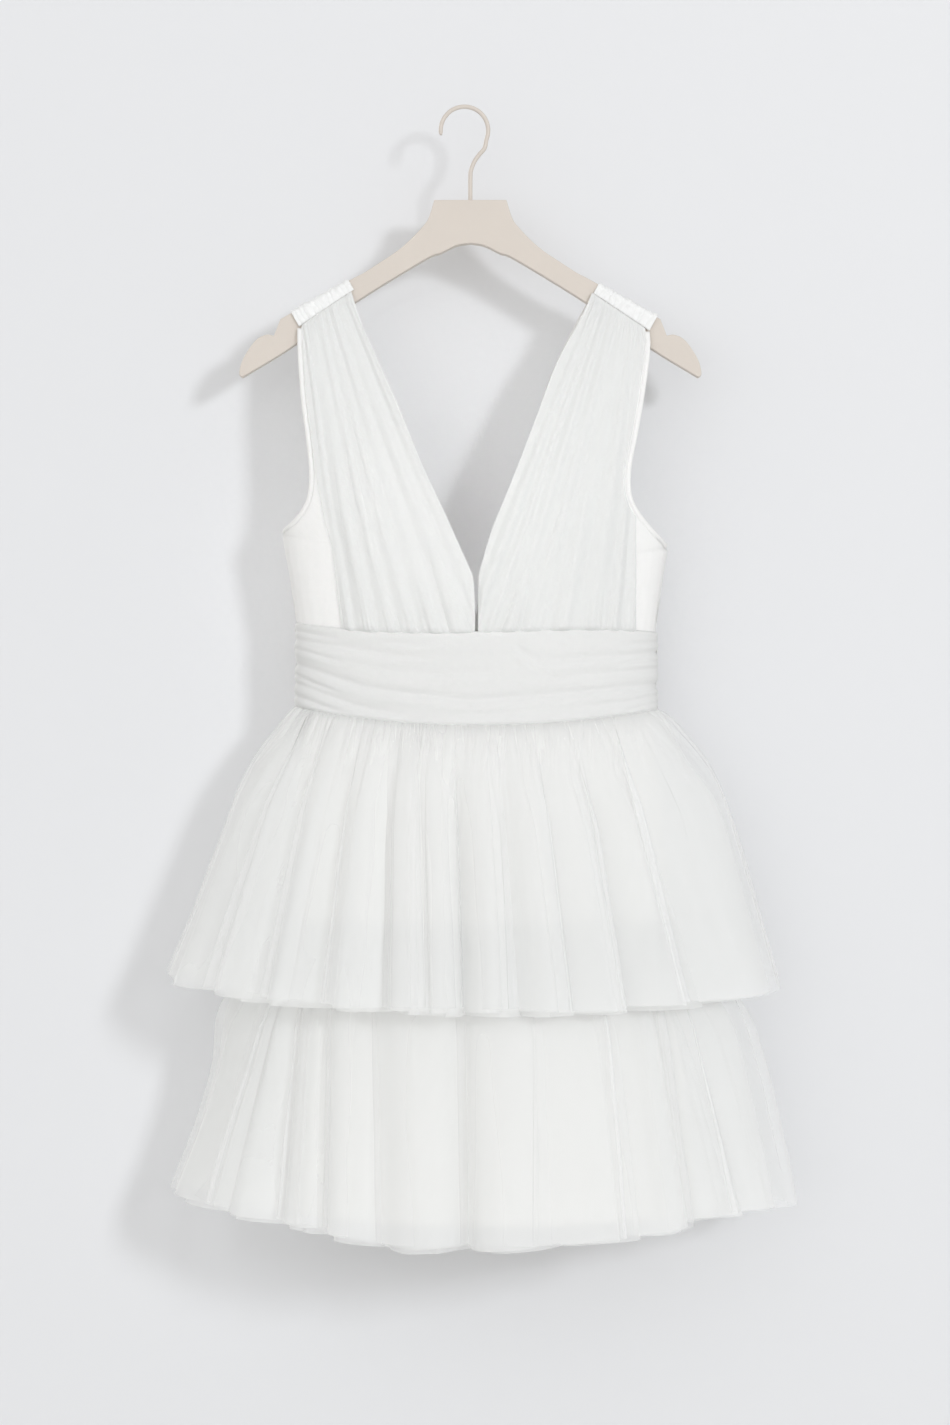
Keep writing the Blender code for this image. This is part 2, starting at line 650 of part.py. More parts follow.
# Lining skirt: smooth cloth, front and back, under both tiers.
lining_shares = np.linspace(0, 1, LINING_COLUMNS + 1)
for name, face, power in (("front", -1, 2.0), ("back", 1, BACK_POWER)):
    grid = np.zeros((len(LINING_RINGS), len(lining_shares), 3))
    for r, ring in enumerate(LINING_RINGS):
        depth = ring.front if face < 0 else ring.back
        line = half_ring(
            lining_shares, ring.centre, ring.half_width, depth, face, power,
            np.zeros(len(lining_shares)),
        )
        for c in range(len(lining_shares)):
            x, y = line[c]
            top = band_edge(BAND_BOTTOM, x, face) - SEWN_EDGE_GAP
            grid[r, c] = (x, y, top + (LINING_HEM_Z - top) * ring.height)
    add_sheet(f"lining_skirt_{name}", [grid], SKIRT_WALL, SMOOTH_CLOTH, facing(grid, face))


def share_of(x, centre, half_width):
    """Where along a half ring a given x lies."""
    return np.arccos(np.clip(-(x - centre) / half_width, -1, 1)) / pi


def fold_columns(folds, rings, steps):
    """For each ring, where its columns lie along it: ridges follow the fold table."""
    columns = []
    for ring in rings:
        top = [share_of(f.top_x, rings[0].centre, rings[0].half_width) for f in folds]
        hem = [share_of(f.hem_x, rings[-1].centre, rings[-1].half_width) for f in folds]
        at = [a + (b - a) * ring.height for a, b in zip(top, hem)]
        ends = [0.0] + [(a + b) / 2 for a, b in zip(at, at[1:])] + [1.0]
        places = []
        for ridge, start, end in zip(at, ends, ends[1:]):
            for k in range(steps):
                half = steps / 2
                if k < half:
                    places.append(start + (ridge - start) * k / half)
                else:
                    places.append(ridge + (end - ridge) * (k - half) / half)
        places.append(1.0)
        columns.append(places)
    return columns


def tier(name, face, folds, rings, top_of, side_z, gather, share, steps):
    """Gathered tulle: rings that open downward, with folds standing out along each."""
    columns = fold_columns(folds, rings, steps)
    total = len(columns[0])
    phase = np.arange(total) / steps
    wave = -np.cos(2 * pi * phase)
    small = -np.cos(4 * pi * phase)
    ends = np.minimum(1, np.minimum(np.arange(total), np.arange(total)[::-1]) / (steps / 2))
    grid = np.zeros((len(rings), total, 3))
    hem_keys = [0.0] + [share_of(f.hem_x, rings[-1].centre, rings[-1].half_width) for f in folds] + [1.0]
    hem_values = [side_z[0]] + [f.hem_z for f in folds] + [side_z[1]]
    for r, ring in enumerate(rings):
        fade = max(0.0, 1 - 2.5 * ring.height)
        push = ends * share * (ring.drop * wave + gather * fade * small) + gather * fade
        depth = ring.front if face < 0 else ring.back
        power = 2 + (FRONT_POWER - 2) * min(1, ring.height * 3) if face < 0 else BACK_POWER
        line = half_ring(columns[r], ring.centre, ring.half_width, depth, face, power, push)
        for c in range(total):
            x, y = line[c]
            top = top_of(x, face)
            hem = np.interp(columns[-1][c], hem_keys, hem_values)
            grid[r, c] = (x, y, top + (hem - top) * ring.height)
    add_sheet(name, [grid], SKIRT_WALL, TULLE, facing(grid, face))


def even_folds(rings, hem_z):
    """Evenly spread folds for a back that isn't seen."""
    folds = []
    for k in range(BACK_FOLDS):
        across = -cos(pi * (k + 0.5) / BACK_FOLDS)
        top, hem = rings[0], rings[-1]
        folds.append(Fold(top.centre + top.half_width * across, hem.centre + hem.half_width * across, hem_z))
    return folds


# Upper tier: gathered under the waistband, front and back.
def under_band(x, face):
    return band_edge(BAND_BOTTOM, x, face) - TIER_TOP_GAP


tier("upper_tier_front", -1, UPPER_FOLDS, UPPER_RINGS, under_band, UPPER_SIDE_Z,
     UPPER_GATHER, 1.0, STEPS_PER_FOLD)
tier("upper_tier_back", 1, even_folds(UPPER_RINGS, UPPER_BACK_HEM_Z), UPPER_RINGS, under_band,
     UPPER_SIDE_Z, UPPER_GATHER * BACK_FOLD_SHARE, BACK_FOLD_SHARE, STEPS_PER_FOLD // 2)


# Lower tier: gathered onto the lining skirt, front and back.
def on_lining(x, face):
    return LOWER_TOP_Z


tier("lower_tier_front", -1, LOWER_FOLDS, LOWER_RINGS, on_lining, LOWER_SIDE_Z,
     LOWER_GATHER, 1.0, STEPS_PER_FOLD // 2)
tier("lower_tier_back", 1, even_folds(LOWER_RINGS, LOWER_BACK_HEM_Z), LOWER_RINGS, on_lining,
     LOWER_SIDE_Z, LOWER_GATHER * BACK_FOLD_SHARE, BACK_FOLD_SHARE, STEPS_PER_FOLD // 2)
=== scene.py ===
"""Sleeveless tulle mini dress on a flat painted hanger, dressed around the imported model.
Metres, +Z up, the front faces -Y. The origin is the point inside the top of the hook.
Widths and heights in the tables are millimetres from the dress's centre line."""

import json
from collections import namedtuple
from math import cos, pi, radians, sin

import bmesh
import bpy
import numpy as np
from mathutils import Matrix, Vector

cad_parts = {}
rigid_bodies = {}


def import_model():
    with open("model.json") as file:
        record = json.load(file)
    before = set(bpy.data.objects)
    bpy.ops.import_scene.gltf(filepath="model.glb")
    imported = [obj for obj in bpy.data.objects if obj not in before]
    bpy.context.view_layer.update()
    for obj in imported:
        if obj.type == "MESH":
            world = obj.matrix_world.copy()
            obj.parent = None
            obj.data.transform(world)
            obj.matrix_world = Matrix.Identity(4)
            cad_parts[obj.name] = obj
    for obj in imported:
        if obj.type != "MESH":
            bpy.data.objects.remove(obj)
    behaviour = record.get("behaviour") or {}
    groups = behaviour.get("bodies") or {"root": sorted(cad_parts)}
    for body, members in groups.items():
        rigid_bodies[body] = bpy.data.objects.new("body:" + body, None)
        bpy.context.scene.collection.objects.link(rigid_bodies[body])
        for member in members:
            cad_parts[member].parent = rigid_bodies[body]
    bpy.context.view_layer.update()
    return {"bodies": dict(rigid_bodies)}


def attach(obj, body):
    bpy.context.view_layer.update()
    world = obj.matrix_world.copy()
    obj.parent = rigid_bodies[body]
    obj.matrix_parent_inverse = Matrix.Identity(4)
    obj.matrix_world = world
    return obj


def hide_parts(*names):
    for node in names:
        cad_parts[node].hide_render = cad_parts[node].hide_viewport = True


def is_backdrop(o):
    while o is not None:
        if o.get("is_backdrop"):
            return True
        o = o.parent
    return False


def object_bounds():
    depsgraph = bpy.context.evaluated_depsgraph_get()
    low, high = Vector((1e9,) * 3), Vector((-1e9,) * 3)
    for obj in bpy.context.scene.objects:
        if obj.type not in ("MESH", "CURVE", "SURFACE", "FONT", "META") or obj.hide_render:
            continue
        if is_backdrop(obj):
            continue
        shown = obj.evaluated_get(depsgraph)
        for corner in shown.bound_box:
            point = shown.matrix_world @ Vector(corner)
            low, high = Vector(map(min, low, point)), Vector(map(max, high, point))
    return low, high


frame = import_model()


# Hanger plate: flat laminated board, sawn to an arch with a foot at each end, its
# edges rounded over, then sprayed with a warm putty-coloured lacquer. The printed
# name on its top is left off.
MM = 0.001
root_body = "root" if "root" in frame["bodies"] else next(iter(frame["bodies"]))
HANGER_X = 5.5
HANGER_THICKNESS = 12.0
HANGER_EDGE = 2.0
HANGER_HALF = (
    (0, -85.3), (33.4, -85.3), (38.3, -101), (42.9, -108.5), (55, -121.5),
    (67.9, -132.6), (84.6, -143.7), (99, -153), (112.4, -160), (175.8, -195.6),
    (181.8, -210.9), (188.8, -210), (199, -215.5), (210.5, -232.7), (213.8, -246),
    (211, -249.4), (167, -222.5), (107.9, -180.8), (42.9, -140.9), (27.5, -134.5),
    (13, -127.5), (0, -125.2),
)
HANGER_CORNERS = {1, 9, 10, 15}
PUTTY = (0.65, 0.592, 0.535)


def smooth_line(points, corners, steps):
    """A line through the points by Catmull-Rom, kept sharp where an index is a corner."""
    points = np.array(points, float)
    line = []
    for i in range(len(points) - 1):
        start, end = points[i], points[i + 1]
        before = start if i == 0 or i in corners else points[i - 1]
        after = end if i + 2 >= len(points) or i + 1 in corners else points[i + 2]
        leave = (end - before) / 2 if i and i not in corners else end - start
        arrive = (after - start) / 2 if i + 2 < len(points) and i + 1 not in corners else end - start
        for k in range(steps):
            t = k / steps
            line.append(
                (2 * t**3 - 3 * t**2 + 1) * start + (t**3 - 2 * t**2 + t) * leave
                + (-2 * t**3 + 3 * t**2) * end + (t**3 - t**2) * arrive
            )
    line.append(points[-1])
    return np.array(line)


def new_group(name, inputs, outputs):
    """An empty shader node group with named sockets, and its two end nodes."""
    group = bpy.data.node_groups.new(name, "ShaderNodeTree")
    for socket, kind, value in inputs:
        made = group.interface.new_socket(name=socket, in_out="INPUT", socket_type=kind)
        if value is not None:
            made.default_value = value
    for socket, kind in outputs:
        group.interface.new_socket(name=socket, in_out="OUTPUT", socket_type=kind)
    return group, group.nodes.new("NodeGroupInput"), group.nodes.new("NodeGroupOutput")


def feed(node, **inputs):
    """Gives each named input of a node a value, or links it to another node's output."""
    for name, value in inputs.items():
        socket = node.inputs[name.replace("_", " ")]
        if isinstance(value, bpy.types.NodeSocket):
            node.id_data.links.new(value, socket)
        else:
            socket.default_value = value


def add_node(tree, kind, **settings):
    """A node with its own settings, such as an operation, and its inputs."""
    node = tree.nodes.new(kind)
    for key, value in settings.items():
        if hasattr(node, key):
            setattr(node, key, value)
        else:
            feed(node, **{key: value})
    return node


def maths(tree, operation, a, b=None):
    """One Math node; a and b are sockets or numbers."""
    node = tree.nodes.new("ShaderNodeMath")
    node.operation = operation
    for slot, value in enumerate((a, b)):
        if isinstance(value, bpy.types.NodeSocket):
            tree.links.new(value, node.inputs[slot])
        elif value is not None:
            node.inputs[slot].default_value = value
    return node.outputs[0]


def mixed_colour(tree, share, first, second):
    """A colour between first and second, by a share socket."""
    return add_node(
        tree, "ShaderNodeMix", data_type="RGBA", Factor=share, A=(*first, 1), B=(*second, 1)
    ).outputs["Result"]


def new_material(name):
    """A material with its Principled shader."""
    material = bpy.data.materials.new(name)
    material.use_nodes = True
    return material, material.node_tree, material.node_tree.nodes["Principled BSDF"]


def bumped(tree, height, distance, strength=1.0):
    """A normal that follows a height."""
    return add_node(
        tree, "ShaderNodeBump", Height=height, Distance=distance, Strength=strength
    ).outputs["Normal"]


# Spray lacquer: a fine orange-peel surface with faint cloudiness, the same on the
# plate and on the wire.
spray, spray_in, spray_out = new_group(
    "sprayed lacquer",
    [("Peel Size", "NodeSocketFloat", 700.0)],
    [("Tone", "NodeSocketFloat"), ("Roughness", "NodeSocketFloat"), ("Height", "NodeSocketFloat")],
)
place = spray.nodes.new("ShaderNodeTexCoord").outputs["Object"]
peel = add_node(
    spray, "ShaderNodeTexNoise", Vector=place, Scale=spray_in.outputs["Peel Size"], Detail=2.0
)
cloud = add_node(spray, "ShaderNodeTexNoise", Vector=place, Scale=28.0, Detail=3.0)
rougher = maths(spray, "ADD", maths(spray, "MULTIPLY", cloud.outputs["Fac"], 0.16), 0.42)
feed(spray_out, Tone=cloud.outputs["Fac"], Roughness=rougher, Height=peel.outputs["Fac"])


def lacquer(name, colour, peel_size):
    """Matt lacquer in one colour, a little darker where the spray lies thicker."""
    material, tree, shader = new_material(name)
    sprayed = add_node(tree, "ShaderNodeGroup", node_tree=spray)
    feed(sprayed, Peel_Size=peel_size)
    darker = tuple(value * 0.955 for value in colour)
    feed(
        shader, Base_Color=mixed_colour(tree, sprayed.outputs["Tone"], darker, colour),
        Roughness=sprayed.outputs["Roughness"], Specular_IOR_Level=0.4,
        Normal=bumped(tree, sprayed.outputs["Height"], 0.00006),
    )
    return material


def mesh_piece(name, points, faces, material, uvs=None):
    """A smooth mesh piece from points in metres that rides on the one body."""
    mesh = bpy.data.meshes.new(name)
    mesh.from_pydata([tuple(p) for p in points], [], [tuple(int(i) for i in f) for f in faces])
    mesh.update()
    mesh.shade_smooth()
    if uvs is not None:
        layer = mesh.uv_layers.new(name="Cloth")
        corners = np.zeros(len(mesh.loops), np.int32)
        mesh.loops.foreach_get("vertex_index", corners)
        layer.data.foreach_set("uv", np.asarray(uvs, float)[corners].ravel())
    mesh.materials.append(material)
    piece = bpy.data.objects.new(name, mesh)
    bpy.context.scene.collection.objects.link(piece)
    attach(piece, root_body)
    return piece


half = smooth_line(HANGER_HALF, HANGER_CORNERS, 5)
outline = np.concatenate([half, (half * (-1, 1))[-2:0:-1]])
shape = bmesh.new()
front_y, back_y = -HANGER_THICKNESS / 2 * MM, HANGER_THICKNESS / 2 * MM
front_corners = [shape.verts.new(((HANGER_X + x) * MM, front_y, z * MM)) for x, z in outline]
back_corners = [shape.verts.new(((HANGER_X + x) * MM, back_y, z * MM)) for x, z in outline]
shape.faces.new(front_corners)
shape.faces.new(back_corners[::-1])
for k in range(len(outline)):
    j = (k + 1) % len(outline)
    shape.faces.new((front_corners[j], front_corners[k], back_corners[k], back_corners[j]))
bmesh.ops.recalc_face_normals(shape, faces=shape.faces)
plate = bpy.data.meshes.new("hanger_plate")
shape.to_mesh(plate)
shape.free()
plate.materials.append(lacquer("putty lacquer on board", PUTTY, 700.0))
hanger_plate = bpy.data.objects.new("hanger_plate", plate)
bpy.context.scene.collection.objects.link(hanger_plate)
rounding = hanger_plate.modifiers.new("Rounded edges", "BEVEL")
rounding.width = HANGER_EDGE * MM
rounding.segments = 5
rounding.limit_method = "ANGLE"
rounding.angle_limit = radians(50)
rounding.harden_normals = True
plate.shade_smooth()
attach(hanger_plate, root_body)
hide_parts("hanger_body")


# Hook: 4 mm steel wire bent to an open ring, with a stem that goes into the plate,
# lacquered in the hanger's colour.
WIRE_RADIUS = 2.0
RING_RADIUS = 22.0
RING_TIP_ANGLE = 192
RING_END_ANGLE = -22
HOOK_BEND = ((18.6, -36.5), (13.6, -42.6), (9.2, -49.0), (6.3, -56.5))
STEM_TOP = (5.5, -64.0)
STEM_FOOT = (5.5, -99.0)
WIRE_SIDES = 20

ring_points = []
for step in range(61):
    angle = radians(RING_TIP_ANGLE + (RING_END_ANGLE - RING_TIP_ANGLE) * step / 60)
    ring_points.append(
        (RING_RADIUS * cos(angle), -(RING_RADIUS - WIRE_RADIUS) + RING_RADIUS * sin(angle))
    )
bend = smooth_line([ring_points[-1], *HOOK_BEND, STEM_TOP, STEM_FOOT], set(), 10)
wire_line = np.array(ring_points[:-1] + [tuple(p) for p in bend])


def swept_tube(line, radii, sides):
    """Points and faces of a round tube along a line of points, closed at both ends."""
    line = np.asarray(line, float)
    along = np.gradient(line, axis=0)
    along /= np.linalg.norm(along, axis=1, keepdims=True)
    side = np.cross(along[0], (0.0, 1.0, 0.0) if abs(along[0][1]) < 0.9 else (1.0, 0.0, 0.0))
    side /= np.linalg.norm(side)
    points, faces = [], []
    for i, (place, way) in enumerate(zip(line, along)):
        side = side - way * np.dot(side, way)
        side /= np.linalg.norm(side)
        up = np.cross(way, side)
        for k in range(sides):
            turn = 2 * pi * k / sides
            points.append(place + radii[i] * (cos(turn) * side + sin(turn) * up))
    for i in range(len(line) - 1):
        for k in range(sides):
            a, b = i * sides + k, i * sides + (k + 1) % sides
            faces.append((a, b, b + sides, a + sides))
    faces.append(tuple(range(sides))[::-1])
    faces.append(tuple((len(line) - 1) * sides + k for k in range(sides)))
    return points, faces


wire_radii = [WIRE_RADIUS * MM] * len(wire_line)
for step, share in enumerate((0.35, 0.75, 0.95)):
    wire_radii[step] = WIRE_RADIUS * MM * share
wire_points, wire_faces = swept_tube(
    [(x * MM, 0, z * MM) for x, z in wire_line], wire_radii, WIRE_SIDES
)
wire_lacquer = lacquer("putty lacquer on wire", PUTTY, 1400.0)
hanger_wire = mesh_piece("hanger_wire", wire_points, wire_faces, wire_lacquer)
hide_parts("hanger_hook")


# Bodice fronts: two panels of smooth matt woven cloth, cut on a body form and bound
# at the armhole. They meet at a slit in the centre front and are sewn into the
# waistband; only a strip at each side shows bare, the rest lies under tulle.
DRESS_X = 11.0
EdgeRow = namedtuple("EdgeRow", "inner_x inner_z outer_x outer_z")
BodyRow = namedtuple("BodyRow", "z half_width front back stand_off")
SeamRow = namedtuple("SeamRow", "x z")
BODY = (
    BodyRow(-160, 190, 1, 1, 6.6), BodyRow(-205, 188, 3, 3, 6.6),
    BodyRow(-260, 184, 16, 12, 6.5), BodyRow(-330, 182, 36, 27, 3.5),
    BodyRow(-385, 181, 49, 36, 1.0), BodyRow(-440, 171, 50, 39, 0.0),
    BodyRow(-486, 164, 46, 39, 0.0), BodyRow(-570, 164, 46, 39, 0.0),
)
FRONT_LEFT = (
    EdgeRow(-115.5, -170.6, -164.9, -204.0), EdgeRow(-105.3, -201.9, -165.0, -226.4),
    EdgeRow(-88.5, -239.9, -161.6, -271.2), EdgeRow(-69.8, -282.3, -156.6, -308.6),
    EdgeRow(-51.3, -328.9, -153.6, -341.2), EdgeRow(-33.0, -368.5, -156.3, -364.3),
    EdgeRow(-17.5, -402.4, -166.8, -380.3), EdgeRow(-2.9, -434.3, -179.0, -391.2),
    EdgeRow(-1.3, -460.6, -170.6, -436.6), EdgeRow(-1.3, -485.1, -164.0, -482.0),
)
FRONT_RIGHT = (
    EdgeRow(107.0, -171.7, 159.7, -207.2), EdgeRow(95.7, -197.5, 160.5, -226.4),
    EdgeRow(74.3, -238.0, 154.7, -269.4), EdgeRow(57.5, -282.3, 147.9, -306.8),
    EdgeRow(40.0, -328.9, 142.2, -336.6), EdgeRow(25.3, -365.8, 143.0, -361.5),
    EdgeRow(12.5, -397.8, 153.6, -380.3), EdgeRow(2.1, -434.3, 175.3, -405.1),
    EdgeRow(1.6, -460.6, 169.4, -441.2), EdgeRow(1.6, -485.1, 164.0, -485.7),
)
NECK_ROWS = 8
BACK_NECK_SHIFT = -5.0
BACK_V_BOTTOM_Z = -466.0
BINDING_WIDTH = 5.5
BINDING_THICKNESS = 2.6
SEAM_GAP = 0.4
SEAM_SHARE = 0.12
SEWN_EDGE_GAP = 0.8
BAND_TOP = (
    SeamRow(-166, -478.3), SeamRow(-125, -481.9), SeamRow(-88, -486.7), SeamRow(-42, -489.6),
    SeamRow(0, -486.0), SeamRow(58, -484.1), SeamRow(113, -485.6), SeamRow(166, -486.6),
)
BAND_BOTTOM = (
    SeamRow(-166, -552.4), SeamRow(-116, -561.6), SeamRow(-70, -567.1), SeamRow(-24, -569.8),
    SeamRow(22, -569.8), SeamRow(67, -567.1), SeamRow(113, -563.5), SeamRow(166, -555.2),
)
PANEL_ROWS_BETWEEN = 8
PANEL_COLUMNS = 56
PANEL_THICKNESS = 0.7
WOVEN_WHITE = (0.85, 0.848, 0.84)


def column_at(table, key, field, value):
    """Reads one column of a table at a value of its key column."""
    keys = [getattr(row, key) for row in table]
    fields = [getattr(row, field) for row in table]
    if keys[0] > keys[-1]:
        keys, fields = keys[::-1], fields[::-1]
    return np.interp(value, keys, fields)


def band_edge(table, x, face):
    """Height of the waistband's edge: a smooth curve in front, a straight line behind."""
    if face > 0:
        return column_at((table[0], table[-1]), "x", "z", x)
    curve = np.polyfit([row.x for row in table], [row.z for row in table], 4)
    return np.polyval(curve, x)


body_levels = np.linspace(-570, -160, 83)
body_fields = {}
for field in ("half_width", "front", "back", "stand_off"):
    values = np.array([column_at(BODY, "z", field, z) for z in body_levels])
    padded = np.pad(values, 4, mode="edge")
    body_fields[field] = np.convolve(padded, np.ones(9) / 9, mode="valid")


def body_points(x, z, face):
    """Points on the body form, in millimetres; face is -1 in front and 1 behind. The two
    sides meet in the side seam."""
    half_width = np.interp(z, body_levels, body_fields["half_width"])
    depth = np.interp(z, body_levels, body_fields["front" if face < 0 else "back"])
    stand_off = np.interp(z, body_levels, body_fields["stand_off"])
    level = np.sqrt(np.maximum(0.0, 1 - (x / half_width) ** 2))
    meet = np.minimum(1, level / SEAM_SHARE)
    return np.stack([x, face * ((SEAM_GAP / 2 + stand_off) * meet + depth * level), z], axis=-1)


def moved_in(table, distance):
    """The rows with the armhole's edge moved into the panel, square to its line."""
    side = np.sign(table[0].outer_x)
    way = np.gradient(np.array([(row.outer_x, row.outer_z) for row in table[:NECK_ROWS]]), axis=0)
    way /= np.linalg.norm(way, axis=1, keepdims=True)
    inward = np.stack([way[:, 1] * side, -way[:, 0] * side], axis=1)
    inward[-1] = (0, -1)
    shoulder = np.array((table[0].inner_x - table[0].outer_x, table[0].inner_z - table[0].outer_z))
    inward[0] = shoulder / np.linalg.norm(shoulder)
    rows = [
        row._replace(outer_x=row.outer_x + into[0] * distance, outer_z=row.outer_z + into[1] * distance)
        for row, into in zip(table, inward)
    ]
    return rows + list(table[NECK_ROWS:])


def back_rows(front):
    """The back's rows: the same armhole, with the V moved over and reaching lower."""
    top, waist = front[0].inner_z, front[-1].inner_z
    deeper = (BACK_V_BOTTOM_Z - top) / (front[NECK_ROWS - 1].inner_z - top)
    rows = []
    for r, row in enumerate(front):
        if r < NECK_ROWS - 1:
            x = row.inner_x + BACK_NECK_SHIFT * min(1, r)
            z = top + (row.inner_z - top) * deeper
        else:
            x = 0.0
            below = (r - NECK_ROWS + 1) / (len(front) - NECK_ROWS)
            z = BACK_V_BOTTOM_Z + (waist - BACK_V_BOTTOM_Z) * below
        rows.append(EdgeRow(x, z, row.outer_x, row.outer_z))
    return rows


def fine_rows(table, between):
    """The rows with smooth rows put in between, and each row's place from 0 to 1."""
    inner = smooth_line([(r.inner_x, r.inner_z) for r in table], {NECK_ROWS - 1}, between)
    outer = smooth_line([(r.outer_x, r.outer_z) for r in table], {NECK_ROWS - 1}, between)
    rows = [EdgeRow(*a, *b) for a, b in zip(inner, outer)]
    return rows, np.linspace(0, 1, len(rows))


def v_foot(rows):
    """Which of the fine rows lies at the foot of the neck's V."""
    return round((NECK_ROWS - 1) / (len(FRONT_LEFT) - 1) * (len(rows) - 1))


def panel_grid(rows, shares, face, reach=None):
    """Points of a bodice panel in millimetres, row by row, from the V's edge outward. It
    ends at the x values of reach where these are given, else at the armhole's edge."""
    last_neck = v_foot(rows)
    grid = np.zeros((len(rows), len(shares), 3))
    shares = np.asarray(shares)
    for r, row in enumerate(rows):
        half_width = np.interp(row.outer_z, body_levels, body_fields["half_width"])
        start = np.arcsin(row.inner_x / half_width)
        end = np.arcsin(np.clip(row.outer_x / half_width, -1, 1))
        if r >= last_neck:
            end = np.sign(row.outer_x) * pi / 2
        limit = 1.0
        if reach is not None:
            stop = np.arcsin(reach[r] * np.sign(row.outer_x) / half_width)
            limit = min(0.98, (stop - start) / (end - start))
        x = half_width * np.sin(start + (end - start) * shares * limit)
        z = row.inner_z + (row.outer_z - row.inner_z) * (x - row.inner_x) / (row.outer_x - row.inner_x)
        seam = band_edge(BAND_TOP, x, face) + SEWN_EDGE_GAP
        near = np.clip((r - last_neck) / (len(rows) - 1 - last_neck), 0, 1)
        z = z + (seam - z) * near**3
        grid[r] = body_points(x, z, face)
    return grid


def grid_normals(grid, face):
    """Unit normals of a grid of points, turned to point outward."""
    across = np.gradient(grid, axis=1)
    down = np.gradient(grid, axis=0)
    normals = np.cross(down, across)
    normals /= np.maximum(np.linalg.norm(normals, axis=2, keepdims=True), 1e-9)
    middle = normals[grid.shape[0] // 2, grid.shape[1] // 2]
    return normals if middle[1] * face > 0 else -normals


def grid_faces(rows, columns, closed=False):
    """The quads of a grid of points that are stored row by row."""
    wide = columns if closed else columns - 1
    r, c = np.meshgrid(np.arange(rows - 1), np.arange(wide), indexing="ij")
    here = r * columns + c
    beside = r * columns + (c + 1) % columns
    return np.stack([here, beside, beside + columns, here + columns], -1).reshape(-1, 4)


def cloth_uvs(grid, closed=False):
    """Distances along the cloth, across and down, in metres, for its weave."""
    across = np.linalg.norm(np.diff(grid, axis=1), axis=2)
    across = np.concatenate([np.zeros((grid.shape[0], 1)), np.cumsum(across, axis=1)], axis=1)
    down = np.linalg.norm(np.diff(grid, axis=0), axis=2)
    down = np.concatenate([np.zeros((1, grid.shape[1])), np.cumsum(down, axis=0)], axis=0)
    return np.stack([across, down], -1).reshape(-1, 2) * MM


def in_frame(points):
    """Points in millimetres from the dress's centre line, as metres in the frame."""
    points = np.array(points, float).reshape(-1, 3) * MM
    points[:, 0] += DRESS_X * MM
    return points


def cloth_piece(name, grids, material, thickness=0.0, outward=1):
    """A sheet of cloth from grids in millimetres that share points where they meet. The
    faces look outward, and a thickness makes it solid, centred on the grid."""
    points, faces, uvs = [], [], []
    for grid in grids:
        start = sum(len(p) for p in points)
        quads = grid_faces(*grid.shape[:2]) + start
        points.append(grid.reshape(-1, 3))
        faces.append(quads if outward > 0 else quads[:, ::-1])
        uvs.append(cloth_uvs(grid))
    points = in_frame(np.concatenate(points))
    piece = mesh_piece(name, points, np.concatenate(faces), material, np.concatenate(uvs))
    if len(grids) > 1:
        shape = bmesh.new()
        shape.from_mesh(piece.data)
        bmesh.ops.remove_doubles(shape, verts=shape.verts, dist=0.00002)
        shape.to_mesh(piece.data)
        shape.free()
    if thickness:
        wall = piece.modifiers.new("Cloth thickness", "SOLIDIFY")
        wall.thickness = thickness * MM
        wall.offset = 0.0
        wall.use_even_offset = False
    return piece


def turned_outward(grid, face):
    """1 if the grid's quads look outward as stored, else -1."""
    across = np.gradient(grid, axis=1)
    down = np.gradient(grid, axis=0)
    middle = np.cross(across, -down)[grid.shape[0] // 2, grid.shape[1] // 2]
    return 1 if middle[1] * face < 0 else -1


def waves(shape, seed, across, down):
    """Smooth noise between about -1 and 1 over a grid: so many waves across and down."""
    random = np.random.default_rng(seed)
    rows = np.linspace(0, 1, shape[0])[:, None]
    columns = np.linspace(0, 1, shape[1])[None, :]
    total = np.zeros(shape)
    for _ in range(9):
        a, b = random.uniform(0.5, 1.5) * across, random.uniform(0.4, 1.4) * down
        total += random.uniform(0.5, 1) * np.sin(
            2 * pi * (a * columns + random.choice((-1, 1)) * b * rows) + random.uniform(0, 2 * pi)
        )
    return total / 3.6


def stretched(tree, place, by):
    """A place on the cloth, multiplied by so much across, down and out."""
    node = add_node(tree, "ShaderNodeVectorMath", operation="MULTIPLY", Vector=place)
    node.inputs[1].default_value = by
    return node.outputs[0]


# Woven cloth: a close plain weave whose threads cross at right angles, with slubs. Its colour is also a
# touch darker where the weave dips between the threads: painted shade.
weave, weave_in, weave_out = new_group(
    "plain weave",
    [("Threads per Metre", "NodeSocketFloat", 1700.0)],
    [("Tone", "NodeSocketFloat"), ("Height", "NodeSocketFloat")],
)
cloth_place = add_node(weave, "ShaderNodeUVMap", uv_map="Cloth").outputs["UV"]
apart = add_node(weave, "ShaderNodeSeparateXYZ", Vector=cloth_place)
turns = maths(weave, "MULTIPLY", weave_in.outputs["Threads per Metre"], 2 * pi / 2)
warp = maths(weave, "SINE", maths(weave, "MULTIPLY", apart.outputs["X"], turns))
weft = maths(weave, "SINE", maths(weave, "MULTIPLY", apart.outputs["Y"], turns))
crossing = maths(weave, "MULTIPLY", warp, weft)
slub_place = stretched(weave, cloth_place, (260.0, 22.0, 1.0))
slub = add_node(weave, "ShaderNodeTexNoise", Vector=slub_place, Scale=1.0, Detail=2.0)
# Colour follows the crossing height, darker in the weave's dips: painted shade. The slubs are the yarn's
# own tone.
slub_tone_and_painted_shade = maths(weave, "ADD", maths(weave, "MULTIPLY", crossing, 0.2), slub.outputs["Fac"])
feed(weave_out, Tone=slub_tone_and_painted_shade, Height=crossing)


